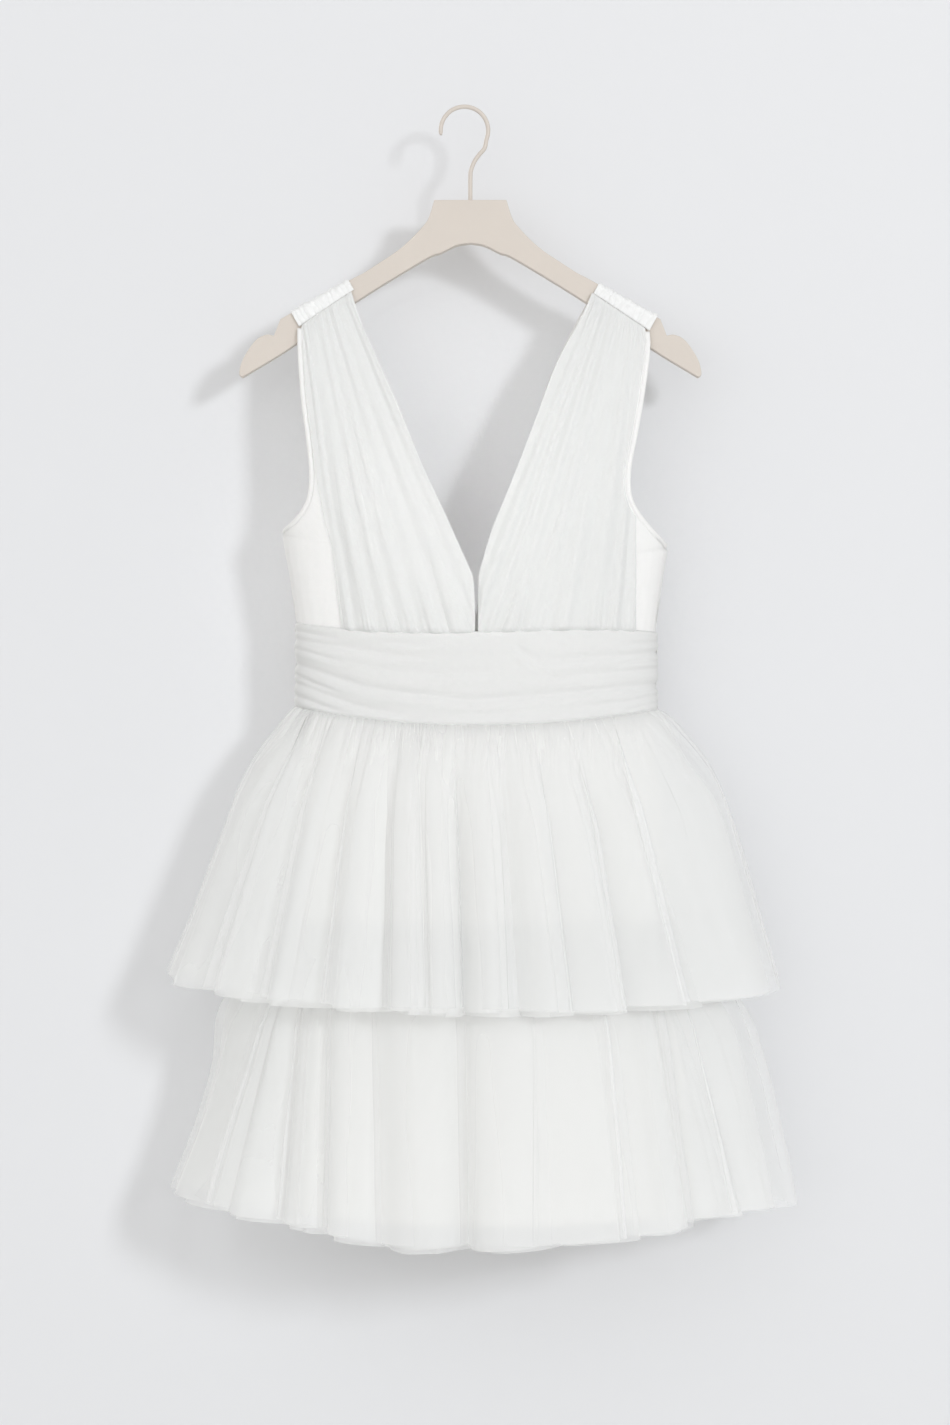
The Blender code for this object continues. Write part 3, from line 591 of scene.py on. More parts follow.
def woven(name, colour):
    """Matt woven cloth in one colour with a soft sheen, a touch darker in the weave's dips as painted
    shade.
    """
    material, tree, shader = new_material(name)
    threads = add_node(tree, "ShaderNodeGroup", node_tree=weave)
    darker = tuple(value * 0.965 for value in colour)
    feed(
        shader, Base_Color=mixed_colour(tree, threads.outputs["Tone"], darker, colour),
        Roughness=0.82, Specular_IOR_Level=0.25, Sheen_Weight=0.12, Sheen_Roughness=0.5,
        Normal=bumped(tree, threads.outputs["Height"], 0.00004, 0.6),
    )
    return material


woven_white = woven("white woven cloth", WOVEN_WHITE)
PANEL_IN = BINDING_WIDTH - 1.0
panel_tables = {"left": moved_in(FRONT_LEFT, PANEL_IN), "right": moved_in(FRONT_RIGHT, PANEL_IN)}
even_shares = np.linspace(0, 1, PANEL_COLUMNS + 1)


def panel_wrinkles(grid, places, seed):
    """Soft puckers that run up from the waist seam and die out above it."""
    rows, columns = grid.shape[:2]
    rise = np.clip((places - 0.72) / 0.28, 0, 1)[:, None] ** 1.5
    puckers = waves((rows, columns), seed, 11, 0.6)
    broad = waves((rows, columns), seed + 1, 2.5, 1.5)
    return 0.9 * rise * puckers + 0.5 * broad


bodice_fronts = []
for seed, side in ((11, "left"), (12, "right")):
    rows, places = fine_rows(panel_tables[side], PANEL_ROWS_BETWEEN)
    grid = panel_grid(rows, even_shares, -1)
    lift = 0.5 + 0.35 * panel_wrinkles(grid, places, seed)
    grid = grid + grid_normals(grid, -1) * lift[..., None]
    panel = cloth_piece(
        f"bodice_panel_{side}", [grid], woven_white, PANEL_THICKNESS, turned_outward(grid, -1)
    )
    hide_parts(f"bodice_front_{side}")
    bodice_fronts.append(panel)


# Bodice back: one panel of the same cloth, sewn to the fronts at the sides and to the
# shoulder bands, with its V a little lower than the front's.
def joined_halves(halves):
    """Two half grids of the back that meet below its V, with their quads turned outward."""
    below_v = v_foot(halves[0])
    middle = (halves[0][below_v:, 0] + halves[1][below_v:, 0]) / 2
    for grid in halves:
        grid[below_v:, 0] = middle
    return [grid if turned_outward(grid, 1) > 0 else grid[:, ::-1] for grid in halves]


back_grids = []
for seed, side in ((21, "left"), (22, "right")):
    rows, _ = fine_rows(back_rows(panel_tables[side]), PANEL_ROWS_BETWEEN)
    grid = panel_grid(rows, even_shares, 1)
    centre = waves(grid.shape[:2], seed, 2, 1.2) * np.minimum(1, even_shares * 6)[None, :]
    back_grids.append(grid + grid_normals(grid, 1) * (0.5 + 0.2 * centre)[..., None])
bodice_back = cloth_piece(
    "bodice_panel_back", joined_halves(back_grids), woven_white, PANEL_THICKNESS
)
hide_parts("bodice_back")


# Tulle drapes: fine net gathered at the shoulder and at the waist, two plies thick,
# laid over each front and over the back in broad soft folds that fan out downward.
DrapeFan = namedtuple("DrapeFan", "inner_top outer_top inner_foot outer_foot outer_x valleys heights")
DRAPE_LEFT = DrapeFan(
    115, 164, -19, 121, (163, 162, 158, 153, 147, 142, 138, 132, 127, 121),
    (0.0, 0.13, 0.32, 0.48, 0.62, 0.755, 0.92, 1.0), (1.0, 0.75, 0.8, 0.6, 0.7, 0.95, 0.6),
)
DRAPE_RIGHT = DrapeFan(
    107, 160, -18, 146, (159, 158, 155, 151, 148, 147, 146, 146, 146, 146),
    (0.0, 0.13, 0.22, 0.35, 0.5, 0.66, 0.83, 0.91, 1.0), (1.0, 0.6, 0.8, 0.7, 0.75, 0.9, 0.7, 0.5),
)
DRAPE_BACK_FOLDS = ((0.0, 0.2, 0.42, 0.63, 0.82, 1.0), (0.8, 0.6, 0.8, 0.6, 0.7))
FAN_TOP_Z = -180
FAN_FOOT_Z = -485
DRAPE_COLUMNS = 156
DRAPE_LIFT = (1.2, 2.1)
FOLD_HEIGHT_FRONT = (4.8, 4.2)
FOLD_HEIGHT_BACK = (2.2, 2.2)
FOOT_DIP = 1.6
TULLE_WHITE = (0.933, 0.938, 0.935)

# Net: hexagonal cells a millimetre across, denser along drawn threads.
net, net_in, net_out = new_group(
    "tulle net",
    [("Cells per Metre", "NodeSocketFloat", 900.0)],
    [("Tone", "NodeSocketFloat"), ("Height", "NodeSocketFloat")],
)
net_place = add_node(net, "ShaderNodeUVMap", uv_map="Cloth").outputs["UV"]
net_apart = add_node(net, "ShaderNodeSeparateXYZ", Vector=net_place)
turn = maths(net, "MULTIPLY", net_in.outputs["Cells per Metre"], 2 * pi)
across = maths(net, "MULTIPLY", net_apart.outputs["X"], turn)
down = maths(net, "MULTIPLY", net_apart.outputs["Y"], turn)
first = maths(net, "COSINE", across)
lean = maths(net, "MULTIPLY", across, 0.5)
rise = maths(net, "MULTIPLY", down, 0.866)
second = maths(net, "COSINE", maths(net, "ADD", lean, rise))
third = maths(net, "COSINE", maths(net, "SUBTRACT", lean, rise))
cells = maths(net, "ADD", maths(net, "ADD", first, second), third)
threads = add_node(net, "ShaderNodeMapRange", Value=cells, From_Min=1.6, From_Max=-1.3)
drawn_place = stretched(net, net_place, (150.0, 5.0, 1.0))
drawn = add_node(
    net, "ShaderNodeTexNoise", Vector=drawn_place, Scale=1.0, Detail=3.0, Roughness=0.6
)
feed(net_out, Tone=drawn.outputs["Fac"], Height=threads.outputs[0])


def tulle(name, colour, cover):
    """Fine white net; cover is the share of what lies behind it that its threads hide."""
    material, tree, shader = new_material(name)
    mesh_net = add_node(tree, "ShaderNodeGroup", node_tree=net)
    darker = tuple(value * 0.98 for value in colour)
    feed(
        shader, Base_Color=mixed_colour(tree, mesh_net.outputs["Tone"], darker, colour),
        Alpha=cover, Roughness=0.7, Specular_IOR_Level=0.2, Sheen_Weight=0.35,
        Sheen_Roughness=0.4, Normal=bumped(tree, mesh_net.outputs["Height"], 0.00006, 0.35),
    )
    return material


def fold_between(place, valleys, heights, fullness=0.8, down=None, seed=0):
    """Heights of rounded folds that stand between valleys, given along one coordinate.
    With down, each fold also swells and sinks along its length."""
    random = np.random.default_rng(seed)
    lift = np.zeros_like(place)
    for start, end, height in zip(valleys, valleys[1:], heights):
        part = np.clip((place - start) / (end - start), 0, 1)
        strength = 1.0
        if down is not None:
            turn = random.uniform(0.5, 1.1) * down + random.uniform(0, 1)
            strength = 0.62 + 0.38 * np.sin(2 * pi * turn)
        lift += height * strength * np.sin(pi * part) ** fullness
    return lift


def uneven_valleys(count, seed, start=0.0, end=1.0):
    """Valleys at uneven distances, with a height for each fold between them."""
    random = np.random.default_rng(seed)
    widths = random.uniform(0.5, 1.5, count)
    valleys = start + (end - start) * np.concatenate([[0], np.cumsum(widths)]) / widths.sum()
    return valleys, random.uniform(0.4, 1.0, count) * widths**0.5


def drape_lift(grid, fan, valleys, heights, seed, base, tall):
    """How far each point of a drape stands off its panel: folds that fan out from the
    shoulder, with short tucks where they are sewn in."""
    size = grid.shape[:2]
    down = np.clip((FAN_TOP_Z - grid[..., 2]) / (FAN_TOP_Z - FAN_FOOT_Z), 0, 1.02)
    inner = fan.inner_top + (fan.inner_foot - fan.inner_top) * down
    outer = fan.outer_top + (fan.outer_foot - fan.outer_top) * down
    place = (np.abs(grid[..., 0]) - inner) / (outer - inner)
    place = place + 0.012 * waves(size, seed, 1.2, 1.1)
    lift = (0.5 + 0.5 * down) * fold_between(place, valleys, heights, 1.6, down, seed + 6)
    fine_valleys, fine_heights = uneven_valleys(15, seed + 1)
    swayed = place + 0.02 * waves(size, seed + 2, 1.5, 1.3)
    fine = fold_between(swayed, fine_valleys, fine_heights, 0.9, down, seed + 7)
    tuck_valleys, tuck_heights = uneven_valleys(26, seed + 3, -0.2, 1.05)
    tucks = fold_between(place + 0.01 * waves(size, seed + 4, 3, 2), tuck_valleys, tuck_heights)
    above_waist = grid[..., 2] - grid[-1:, :, 2]
    below_shoulder = grid[:1, :, 2] - grid[..., 2]
    at_waist = np.exp(-((above_waist / 26) ** 1.5))
    at_shoulder = np.exp(-((below_shoulder / 30) ** 1.5))
    total = tall * (0.95 + 0.4 * at_waist + 0.1 * at_shoulder) * lift
    total += tall * (0.02 + 0.12 * at_waist + 0.15 * at_shoulder) * fine
    total += tall * (0.45 * at_waist + 0.2 * at_shoulder) * tucks
    total += 0.3 * waves(size, seed + 5, 2.5, 2.5)
    ends = np.clip(np.minimum(below_shoulder / 5, above_waist / 3.5), 0, 1) ** 0.7
    u = np.linspace(0, 1, size[1])[None, :]
    edge = np.clip(np.minimum(u / 0.025, (1 - u) / 0.02), 0, 1) ** 0.6
    return base * (0.45 + 0.55 * ends) + np.maximum(total, 0) * (0.15 + 0.85 * ends) * edge


def drape_half(table, fan, outer_x, face, folds, seed, base, tall):
    """One ply of a drape over half of the front or the back, as a grid."""
    rows, places = fine_rows(table, PANEL_ROWS_BETWEEN)
    reach = np.interp(places, np.linspace(0, 1, len(outer_x)), outer_x)
    grid = panel_grid(rows, np.linspace(0, 1, DRAPE_COLUMNS + 1), face, reach)
    grid[..., 2] -= FOOT_DIP * np.clip((places[:, None] - 0.9) / 0.1, 0, 1) ** 2
    lift = drape_lift(grid, fan, *folds, seed, base, tall)
    if face > 0:
        lift[:, 0] = lift[:, 1]
    return grid + grid_normals(grid, face) * lift[..., None]


# The tulle over the bodice is the tiers' white net in a darker copy, to take down the light on the
# bodice: painted shade.
tulle_bodice_painted_shade = tulle("white tulle over the bodice, painted darker for shade", (0.89, 0.897, 0.892), 0.6)
for side, fan in (("left", DRAPE_LEFT), ("right", DRAPE_RIGHT)):
    for ply, base in enumerate(DRAPE_LIFT):
        seed = 40 + ply * 10 + (5 if side == "right" else 0)
        folds = (fan.valleys, fan.heights)
        grid = drape_half(
            panel_tables[side], fan, fan.outer_x, -1, folds, seed, base, FOLD_HEIGHT_FRONT[ply]
        )
        piece = cloth_piece(
            f"tulle_front_{side}_{'under' if ply == 0 else 'over'}", [grid], tulle_bodice_painted_shade,
            outward=turned_outward(grid, -1),
        )
    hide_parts(f"drape_front_{side}")

for ply, base in enumerate(DRAPE_LIFT):
    drape_grids = []
    for side, fan in (("left", DRAPE_LEFT), ("right", DRAPE_RIGHT)):
        seed = 70 + ply * 10 + (5 if side == "right" else 0)
        drape_grids.append(drape_half(
            back_rows(panel_tables[side]), fan, DRAPE_LEFT.outer_x, 1, DRAPE_BACK_FOLDS, seed,
            base, FOLD_HEIGHT_BACK[ply],
        ))
    piece = cloth_piece(
        f"tulle_back_{'under' if ply == 0 else 'over'}", joined_halves(drape_grids), tulle_bodice_painted_shade
    )
    if ply == 0:
        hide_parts("drape_back")


# Armhole bindings: a bias strip folded over each armhole's raw edge and stitched
# down close to its inner edge.
BINDING_SIDES = 16
BINDING_START = 2.2
STITCH_PITCH = 2.6
STITCH_LENGTH = 1.9
STITCH_RADIUS = 0.22


def armhole_frames(table, steps):
    """Points along an armhole from front to back, with the ways inward and outward."""
    front_rows, _ = fine_rows(table, PANEL_ROWS_BETWEEN)
    back_table, _ = fine_rows(back_rows(table), PANEL_ROWS_BETWEEN)
    last = v_foot(front_rows) + 1
    front = panel_grid(front_rows, (1.0, 0.9), -1)[:last]
    back = panel_grid(back_table, (1.0, 0.9), 1)[:last]
    under = (front[-1] + back[-1]) / 2
    under[1] = under[0] - (0, 0, 1)
    both = np.concatenate([front[:-3], under[None], back[-4::-1]])
    lengths = np.linalg.norm(np.diff(both[:, 0], axis=0), axis=1)
    at = np.concatenate([[0], np.cumsum(lengths)])
    wanted = np.linspace(BINDING_START, at[-1] - BINDING_START, steps)
    edge = np.stack([np.interp(wanted, at, both[:, 0, k]) for k in range(3)], 1)
    inner = np.stack([np.interp(wanted, at, both[:, 1, k]) for k in range(3)], 1)
    for _ in range(3):
        edge[1:-1] = (edge[:-2] + edge[1:-1] * 2 + edge[2:]) / 4
    along = np.gradient(edge, axis=0)
    along /= np.linalg.norm(along, axis=1, keepdims=True)
    inward = inner - edge
    inward -= along * np.sum(inward * along, axis=1, keepdims=True)
    inward /= np.linalg.norm(inward, axis=1, keepdims=True)
    for _ in range(6):
        inward[1:-1] = (inward[:-2] + inward[1:-1] * 2 + inward[2:]) / 4
        inward /= np.linalg.norm(inward, axis=1, keepdims=True)
    out = np.cross(along, inward)
    return edge, along, inward, out, at[-1]


for side, table in (("left", FRONT_LEFT), ("right", FRONT_RIGHT)):
    edge, along, inward, out, length = armhole_frames(moved_in(table, BINDING_WIDTH / 2), 150)
    sections = []
    for k in range(BINDING_SIDES):
        turn = 2 * pi * k / BINDING_SIDES
        groove = 0.75 if abs(cos(turn) - 0.35) < 0.2 and abs(sin(turn)) > 0.5 else 1.0
        sections.append(
            edge + inward * (BINDING_WIDTH / 2 * cos(turn))
            + out * (BINDING_THICKNESS / 2 * sin(turn) * groove)
        )
    tube = np.stack(sections, 1)
    count = len(tube)
    faces = [tuple(q) for q in grid_faces(count, BINDING_SIDES, closed=True)]
    faces.append(tuple(range(BINDING_SIDES))[::-1])
    faces.append(tuple((count - 1) * BINDING_SIDES + k for k in range(BINDING_SIDES)))
    binding = mesh_piece(
        f"armhole_binding_strip_{side}", in_frame(tube), faces, woven_white, cloth_uvs(tube)
    )
    shape = bmesh.new()
    shape.from_mesh(binding.data)
    bmesh.ops.recalc_face_normals(shape, faces=shape.faces)
    shape.to_mesh(binding.data)
    shape.free()
    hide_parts(f"armhole_binding_{side}")
    stitch_points, stitch_faces = [], []
    stitches = int(length / STITCH_PITCH) - 2
    for outer_side in (1, -1):
        for number in range(stitches):
            place = (number + 0.5) / stitches * (count - 1)
            low = int(place)
            middle = edge[low] + inward[low] * BINDING_WIDTH * 0.24
            middle = middle + out[low] * outer_side * BINDING_THICKNESS * 0.36
            ends = [middle + along[low] * STITCH_LENGTH * t for t in (-0.5, -0.25, 0.25, 0.5)]
            ends[0] = ends[0] - out[low] * outer_side * 0.25
            ends[-1] = ends[-1] - out[low] * outer_side * 0.25
            tube_points, tube_faces = swept_tube(ends, [STITCH_RADIUS] * 4, 5)
            start = len(stitch_points)
            stitch_points.extend(tube_points)
            stitch_faces.extend(tuple(i + start for i in f) for f in tube_faces)
    stitch_points = in_frame(stitch_points)
    stitching = mesh_piece(
        f"armhole_stitching_{side}", stitch_points, stitch_faces, woven_white, stitch_points[:, :2]
    )


# Shoulder bands: a strip of tulle over each of the hanger's arms, drawn together on
# its stitches so that it crumples finely across.
BAND_LEFT = (112.5, 165.5)
BAND_RIGHT = (118.5, 172.5)
ARM_TOP_INNER = np.array((112.4, -160.0))
ARM_TOP_OUTER = np.array((175.8, -195.6))
BAND_COLUMNS = 110
BAND_ROWS = 40
BAND_CLEARANCE = 0.6
tulle_shirred = tulle("white tulle, shirred", TULLE_WHITE, 0.85)

arm_way = (ARM_TOP_OUTER - ARM_TOP_INNER) / np.linalg.norm(ARM_TOP_OUTER - ARM_TOP_INNER)
arm_up = np.array((-arm_way[1], arm_way[0]))
for side, sign, span, seed in (("left", -1, BAND_LEFT, 91), ("right", 1, BAND_RIGHT, 92)):
    half_gap = HANGER_THICKNESS / 2 + BAND_CLEARANCE
    share = np.linspace(0, 1, BAND_COLUMNS + 1)
    size = (BAND_ROWS + 1, BAND_COLUMNS + 1)
    drift = 0.022 * waves(size, seed, 2.5, 1.4)
    crumple = fold_between(share[None, :] + drift, *uneven_valleys(12, seed + 1, -0.03, 1.03))
    lumps = waves(size, seed + 2, 7, 2.4)
    fine = waves(size, seed + 4, 16, 5)
    puff = 1.15 * crumple + 0.3 * lumps + 0.14 * fine
    grid = np.zeros((BAND_ROWS + 1, BAND_COLUMNS + 1, 3))
    for c, along_share in enumerate(share):
        x = span[0] + (span[1] - span[0]) * along_share
        top = ARM_TOP_INNER + arm_way * (x - ARM_TOP_INNER[0]) / arm_way[0]
        drop = 9.8 + 5.0 * along_share
        outline = smooth_line(
            [(-half_gap, -drop), (-half_gap, -drop / 2), (-half_gap, -2.0), (-half_gap * 0.55, 0.7),
             (half_gap * 0.55, 0.7), (half_gap, -2.0), (half_gap, -drop / 2), (half_gap, -drop)],
            set(), 8,
        )
        at = np.linspace(0, len(outline) - 1, BAND_ROWS + 1)
        across = np.stack([np.interp(at, range(len(outline)), outline[:, k]) for k in (0, 1)], 1)
        way = np.gradient(across, axis=0)
        way /= np.linalg.norm(way, axis=1, keepdims=True)
        across = across + np.stack([-way[:, 1], way[:, 0]], 1) * (0.5 + puff[:, c, None])
        place = top + arm_up * across[:, 1, None]
        grid[:, c] = np.stack([sign * place[:, 0] + HANGER_X - DRESS_X, across[:, 0], place[:, 1]], 1)
    piece = cloth_piece(f"shoulder_shirring_{side}", [grid], tulle_shirred, 0.5, -sign)
    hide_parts(f"shoulder_band_{side}")


# Waistband: tulle ruched over a straight band and caught at both side seams. Its
# creases fan out from the seams and most of them die away toward the middle.
Crease = namedtuple("Crease", "places heights depth width")
FRONT_CREASES = (
    Crease((0.0, 0.2, 0.42), (0.18, 0.24, 0.28), 1.0, 0.050),
    Crease((0.0, 0.18, 0.48, 0.75, 1.0), (0.48, 0.63, 0.72, 0.69, 0.66), 1.1, 0.050),
    Crease((0.0, 0.16, 0.38), (0.70, 0.86, 0.93), 0.9, 0.040),
    Crease((0.59, 0.63, 0.68), (0.12, 0.24, 0.34), 1.0, 0.045),
    Crease((0.66, 0.82, 1.0), (0.33, 0.31, 0.27), 0.9, 0.050),
    Crease((0.0, 0.07, 0.15), (0.86, 0.92, 0.97), 0.8, 0.030),
    Crease((0.04, 0.30, 0.64), (0.36, 0.45, 0.43), 0.6, 0.060),
    Crease((0.66, 0.85, 1.0), (0.52, 0.50, 0.46), 0.5, 0.050),
    Crease((0.78, 0.90, 1.0), (0.85, 0.84, 0.80), 0.6, 0.045),
    Crease((0.40, 0.55, 0.72), (0.88, 0.87, 0.84), 0.5, 0.040),
    Crease((0.0, 0.05, 0.12), (0.09, 0.11, 0.12), 0.7, 0.028),
    Crease((0.0, 0.06, 0.14), (0.30, 0.34, 0.38), 0.8, 0.030),
    Crease((0.0, 0.05, 0.13), (0.60, 0.68, 0.75), 0.8, 0.028),
    Crease((0.90, 0.95, 1.0), (0.17, 0.15, 0.13), 0.6, 0.028),
    Crease((0.88, 0.94, 1.0), (0.41, 0.39, 0.37), 0.6, 0.028),
    Crease((0.87, 0.94, 1.0), (0.77, 0.75, 0.72), 0.6, 0.028),
    Crease((0.90, 0.95, 1.0), (0.94, 0.92, 0.90), 0.5, 0.025),
    Crease((0.20, 0.33, 0.46), (0.10, 0.13, 0.11), 0.4, 0.035),
)
BACK_CREASES = (
    Crease((0.0, 0.3, 0.62), (0.20, 0.25, 0.27), 0.8, 0.050),
    Crease((0.0, 0.5, 1.0), (0.46, 0.50, 0.44), 0.9, 0.055),
    Crease((0.30, 0.6, 1.0), (0.74, 0.75, 0.70), 0.8, 0.050),
    Crease((0.0, 0.1, 0.3), (0.72, 0.78, 0.80), 0.8, 0.040),
    Crease((0.7, 0.85, 1.0), (0.25, 0.22, 0.18), 0.7, 0.035),
)
WAIST_HALF_WIDTH = 164.0
WAIST_FRONT = 46.0
WAIST_BACK = 39.0
BAND_OVERLAP = 1.5
BAND_BASE = 2.1
RUCHE_HEIGHT = 2.3
WAIST_COLUMNS = 200
WAIST_ROWS = 66
# The ruched tulle is the same white net painted much darker, standing in for the shade on the band:
# painted shade.
tulle_ruched_painted_shade = tulle("white tulle, ruched, painted darker for shade", (0.755, 0.758, 0.752), 0.95)


def half_oval(shares, half_width, depth, face):
    """Points and outward ways of a half oval seen from above, from left to right."""
    x = -half_width * np.cos(pi * shares)
    y = face * depth * np.sin(pi * shares)
    out = np.stack([x / half_width**2, y / depth**2], -1)
    out /= np.linalg.norm(out, axis=-1, keepdims=True)
    return x, y, out


def creased(size, creases, half_width, seed):
    """Heights of a ruched band: it bulges softly between its creases."""
    shares = np.linspace(0, 1, size[1])[None, :]
    down = np.linspace(0, 1, size[0])[:, None]
    across = (1 - np.cos(pi * shares)) / 2
    lift = 1.0 + 0.22 * waves(size, seed, 1.6, 1.4) + 0.10 * waves(size, seed + 1, 3.5, 5)
    for number, crease in enumerate(creases):
        line = np.array([
            np.interp(value, crease.places, crease.heights) for value in across[0]
        ])[None, :]
        line = line + 0.008 * waves(size, seed + 10 + number, 2.2, 0.01)
        start, end = crease.places[0], crease.places[-1]
        length = end - start
        leaving = np.clip((across - start) / (0.35 * length), 0, 1) if start > 0.01 else 1.0
        ending = np.clip((end - across) / (0.45 * length), 0, 1) if end < 0.99 else 1.0
        inside = ((across >= start - 1e-6) & (across <= end + 1e-6)) * leaving * ending
        away = (down - line) / crease.width
        lift -= crease.depth * inside * np.exp(-(np.abs(away) ** 1.5)) * 0.85
        lift += crease.depth * inside * np.exp(-((away - 1.9) ** 2) / 1.5) * 0.35
    return lift


for name, face, depth, creases, seed in (
    ("front", -1, WAIST_FRONT, FRONT_CREASES, 101), ("back", 1, WAIST_BACK, BACK_CREASES, 151),
):
    shares = np.linspace(0, 1, WAIST_COLUMNS + 1)
    v = np.linspace(0, 1, WAIST_ROWS + 1)[:, None]
    size = (WAIST_ROWS + 1, WAIST_COLUMNS + 1)
    lift = creased(size, creases, WAIST_HALF_WIDTH, seed)
    rolled = np.clip(np.minimum(v, 1 - v) / 0.035, 0, 1) ** 0.5
    push = BAND_BASE + RUCHE_HEIGHT * (lift - 0.2) * rolled
    x, y, out = half_oval(shares, WAIST_HALF_WIDTH, depth, face)
    top_z = np.array([band_edge(BAND_TOP, value, face) for value in x])
    bottom_z = np.array([band_edge(BAND_BOTTOM, value, face) for value in x])
    seam = 1 - np.exp(-np.minimum(shares, 1 - shares) / 0.004)[None, :] * 0.35
    grid = np.stack([
        x[None, :] + out[None, :, 0] * push * seam,
        y[None, :] + out[None, :, 1] * push * seam,
        top_z + BAND_OVERLAP + (bottom_z - top_z - 2 * BAND_OVERLAP) * v,
    ], -1)
    piece = cloth_piece(f"waist_ruching_{name}", [grid], tulle_ruched_painted_shade, 0.6, turned_outward(grid, face))
    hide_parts(f"waistband_{name}")


# Lining skirt: smooth opaque woven cloth, two A-line panels that hang from the
# waistband's seam and are hemmed a little above the net's lowest edge.
RingRow = namedtuple("RingRow", "drop left right front back height")
LINING_RINGS = (
    RingRow(0, 161.0, 161.0, 41.5, 35.0, 0.0), RingRow(0, 165.0, 173.0, 66.0, 36.0, 0.25),
    RingRow(0, 167.0, 183.0, 80.0, 36.5, 0.5), RingRow(0, 169.0, 193.0, 95.0, 37.0, 0.75),
    RingRow(0, 171.0, 203.0, 108.0, 37.0, 1.0),
)
LINING_HEM_Z = -1018.0
LINING_COLUMNS = 120
LINING_ROWS = 60
BACK_POWER = 3.5


def ring_field(rings, field, height):
    """One column of a ring table as a smooth curve over height."""
    line = smooth_line([(r.height, getattr(r, field)) for r in rings], set(), 12)
    return np.interp(height, line[:, 0], line[:, 1])


def ring_middle(rings, height):
    """A ring's centre and half width, without its folds' drop."""
    left, right = ring_field(rings, "left", height), ring_field(rings, "right", height)
    return (right - left) / 2, (left + right) / 2 - ring_field(rings, "drop", height)


def half_ring(shares, centre, half_width, depth, face, power):
    """Points, ways along and ways outward of a half ring seen from above, left to right."""
    across = -np.cos(pi * shares)
    level = np.maximum(0.0, 1 - np.abs(across) ** power) ** (1 / power)
    line = np.stack([centre + half_width * across, face * depth * level], -1)
    along = np.gradient(line, axis=0)
    along /= np.maximum(np.linalg.norm(along, axis=1, keepdims=True), 1e-9)
    out = np.stack([along[:, 1], -along[:, 0]], -1) * -face
    return line, along, out


lining_white = woven("white lining", (0.93, 0.92, 0.90))
for name, face, power, seed in (("front", -1, 2.0, 121), ("back", 1, BACK_POWER, 131)):
    shares = np.linspace(0, 1, LINING_COLUMNS + 1)
    heights = np.linspace(0, 1, LINING_ROWS + 1)
    size = (len(heights), len(shares))
    sway = waves(size, seed, 3.5, 0.5) * np.minimum(1, 4 * np.minimum(shares, 1 - shares))
    grid = np.zeros((*size, 3))
    for r, height in enumerate(heights):
        depth = ring_field(LINING_RINGS, "front" if face < 0 else "back", height)
        centre, half_width = ring_middle(LINING_RINGS, height)
        line, _, out = half_ring(shares, centre, half_width, depth, face, power)
        push = 0.4 + sway[r] * height * (1.6 if face < 0 else 0.5)
        x, y = line[:, 0] + out[:, 0] * push, line[:, 1] + out[:, 1] * push
        top = band_edge(BAND_BOTTOM, x, face) - SEWN_EDGE_GAP
        grid[r] = np.stack([x, y, top + (LINING_HEM_Z - top) * height], -1)
    piece = cloth_piece(f"lining_{name}", [grid], lining_white, 0.5, turned_outward(grid, face))
    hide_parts(f"lining_skirt_{name}")


# Upper tier: three plies of fine tulle, cut as long strips, gathered tight under the
# waistband and left raw at the hem. They fall in broad folds that open downward.
Fold = namedtuple("Fold", "top_x hem_x hem_z valley")
UPPER_RINGS = (
    RingRow(1.2, 165.0, 165.0, 46.0, 38.6, 0.0), RingRow(3.0, 173.0, 177.0, 56.0, 41.0, 0.025),
    RingRow(5.0, 184.0, 192.0, 71.0, 42.0, 0.08), RingRow(6.5, 213.0, 225.0, 96.0, 44.5, 0.26),
    RingRow(8.0, 238.0, 252.0, 118.0, 46.0, 0.52), RingRow(9.5, 264.0, 273.0, 136.0, 46.5, 0.78),
    RingRow(10.5, 289.0, 291.0, 148.0, 46.5, 1.0),
)
UPPER_FOLDS = (
    Fold(-158, -251, -804, 0.7), Fold(-146, -196, -813, 1.0), Fold(-117, -159, -817, 0.8),
    Fold(-87, -97, -820, 1.2), Fold(-58, -53, -822, 0.35), Fold(-38, -27, -822, 1.7),
    Fold(9, 17, -823, 1.3), Fold(43, 67, -824, 0.7), Fold(80, 112, -824, 1.3),
    Fold(112, 160, -822, 0.7), Fold(148, 232, -818, 0.5),
)
UPPER_SIDE_Z = (-796.0, -806.0)
UPPER_BACK_HEM_Z = -822.0
PLY_IN_LEFT = (5.0, 2.5, 0.0)
PLY_IN_RIGHT = (26.0, 20.0, 0.0)
PLY_HEM = (3.5, 0.0, -2.5)
FRONT_POWER = 1.75
BACK_FOLDS = 13
TIER_ROWS = 46
FRONT_STEPS = 600
BACK_STEPS = 300
BACK_CALM = 0.35
PLY_SPACING = 2.4
PLY_SHIFT = 0.18
BROAD_LEAN_FRONT = 0.46
BROAD_LEAN_BACK = 0.2
LESSER_PER_FOLD = 1.8
GATHERS_PER_FOLD = 5
SEAM_REST = 0.016
SIDE_CALM = 0.14


def share_of(x, centre, half_width):
    """Where along a half ring a given x lies."""
    return np.arccos(np.clip(-(x - centre) / half_width, -1, 1)) / pi


def fold_places(folds, rings, height):
    """Where the folds' ridges lie along the half ring at a height. Seen from the front
    each runs in a straight line, and none comes too near its neighbour."""
    centre, half_width = ring_middle(rings, height)
    at = [share_of(f.top_x + (f.hem_x - f.top_x) * height, centre, half_width) for f in folds]
    least = 0.35 / (len(folds) + 1)
    for k in range(len(at)):
        at[k] = max(at[k], (at[k - 1] if k else 0.0) + least)
    for k in reversed(range(len(at))):
        at[k] = min(at[k], (at[k + 1] if k + 1 < len(at) else 1.0) - least)
    return np.array(at)


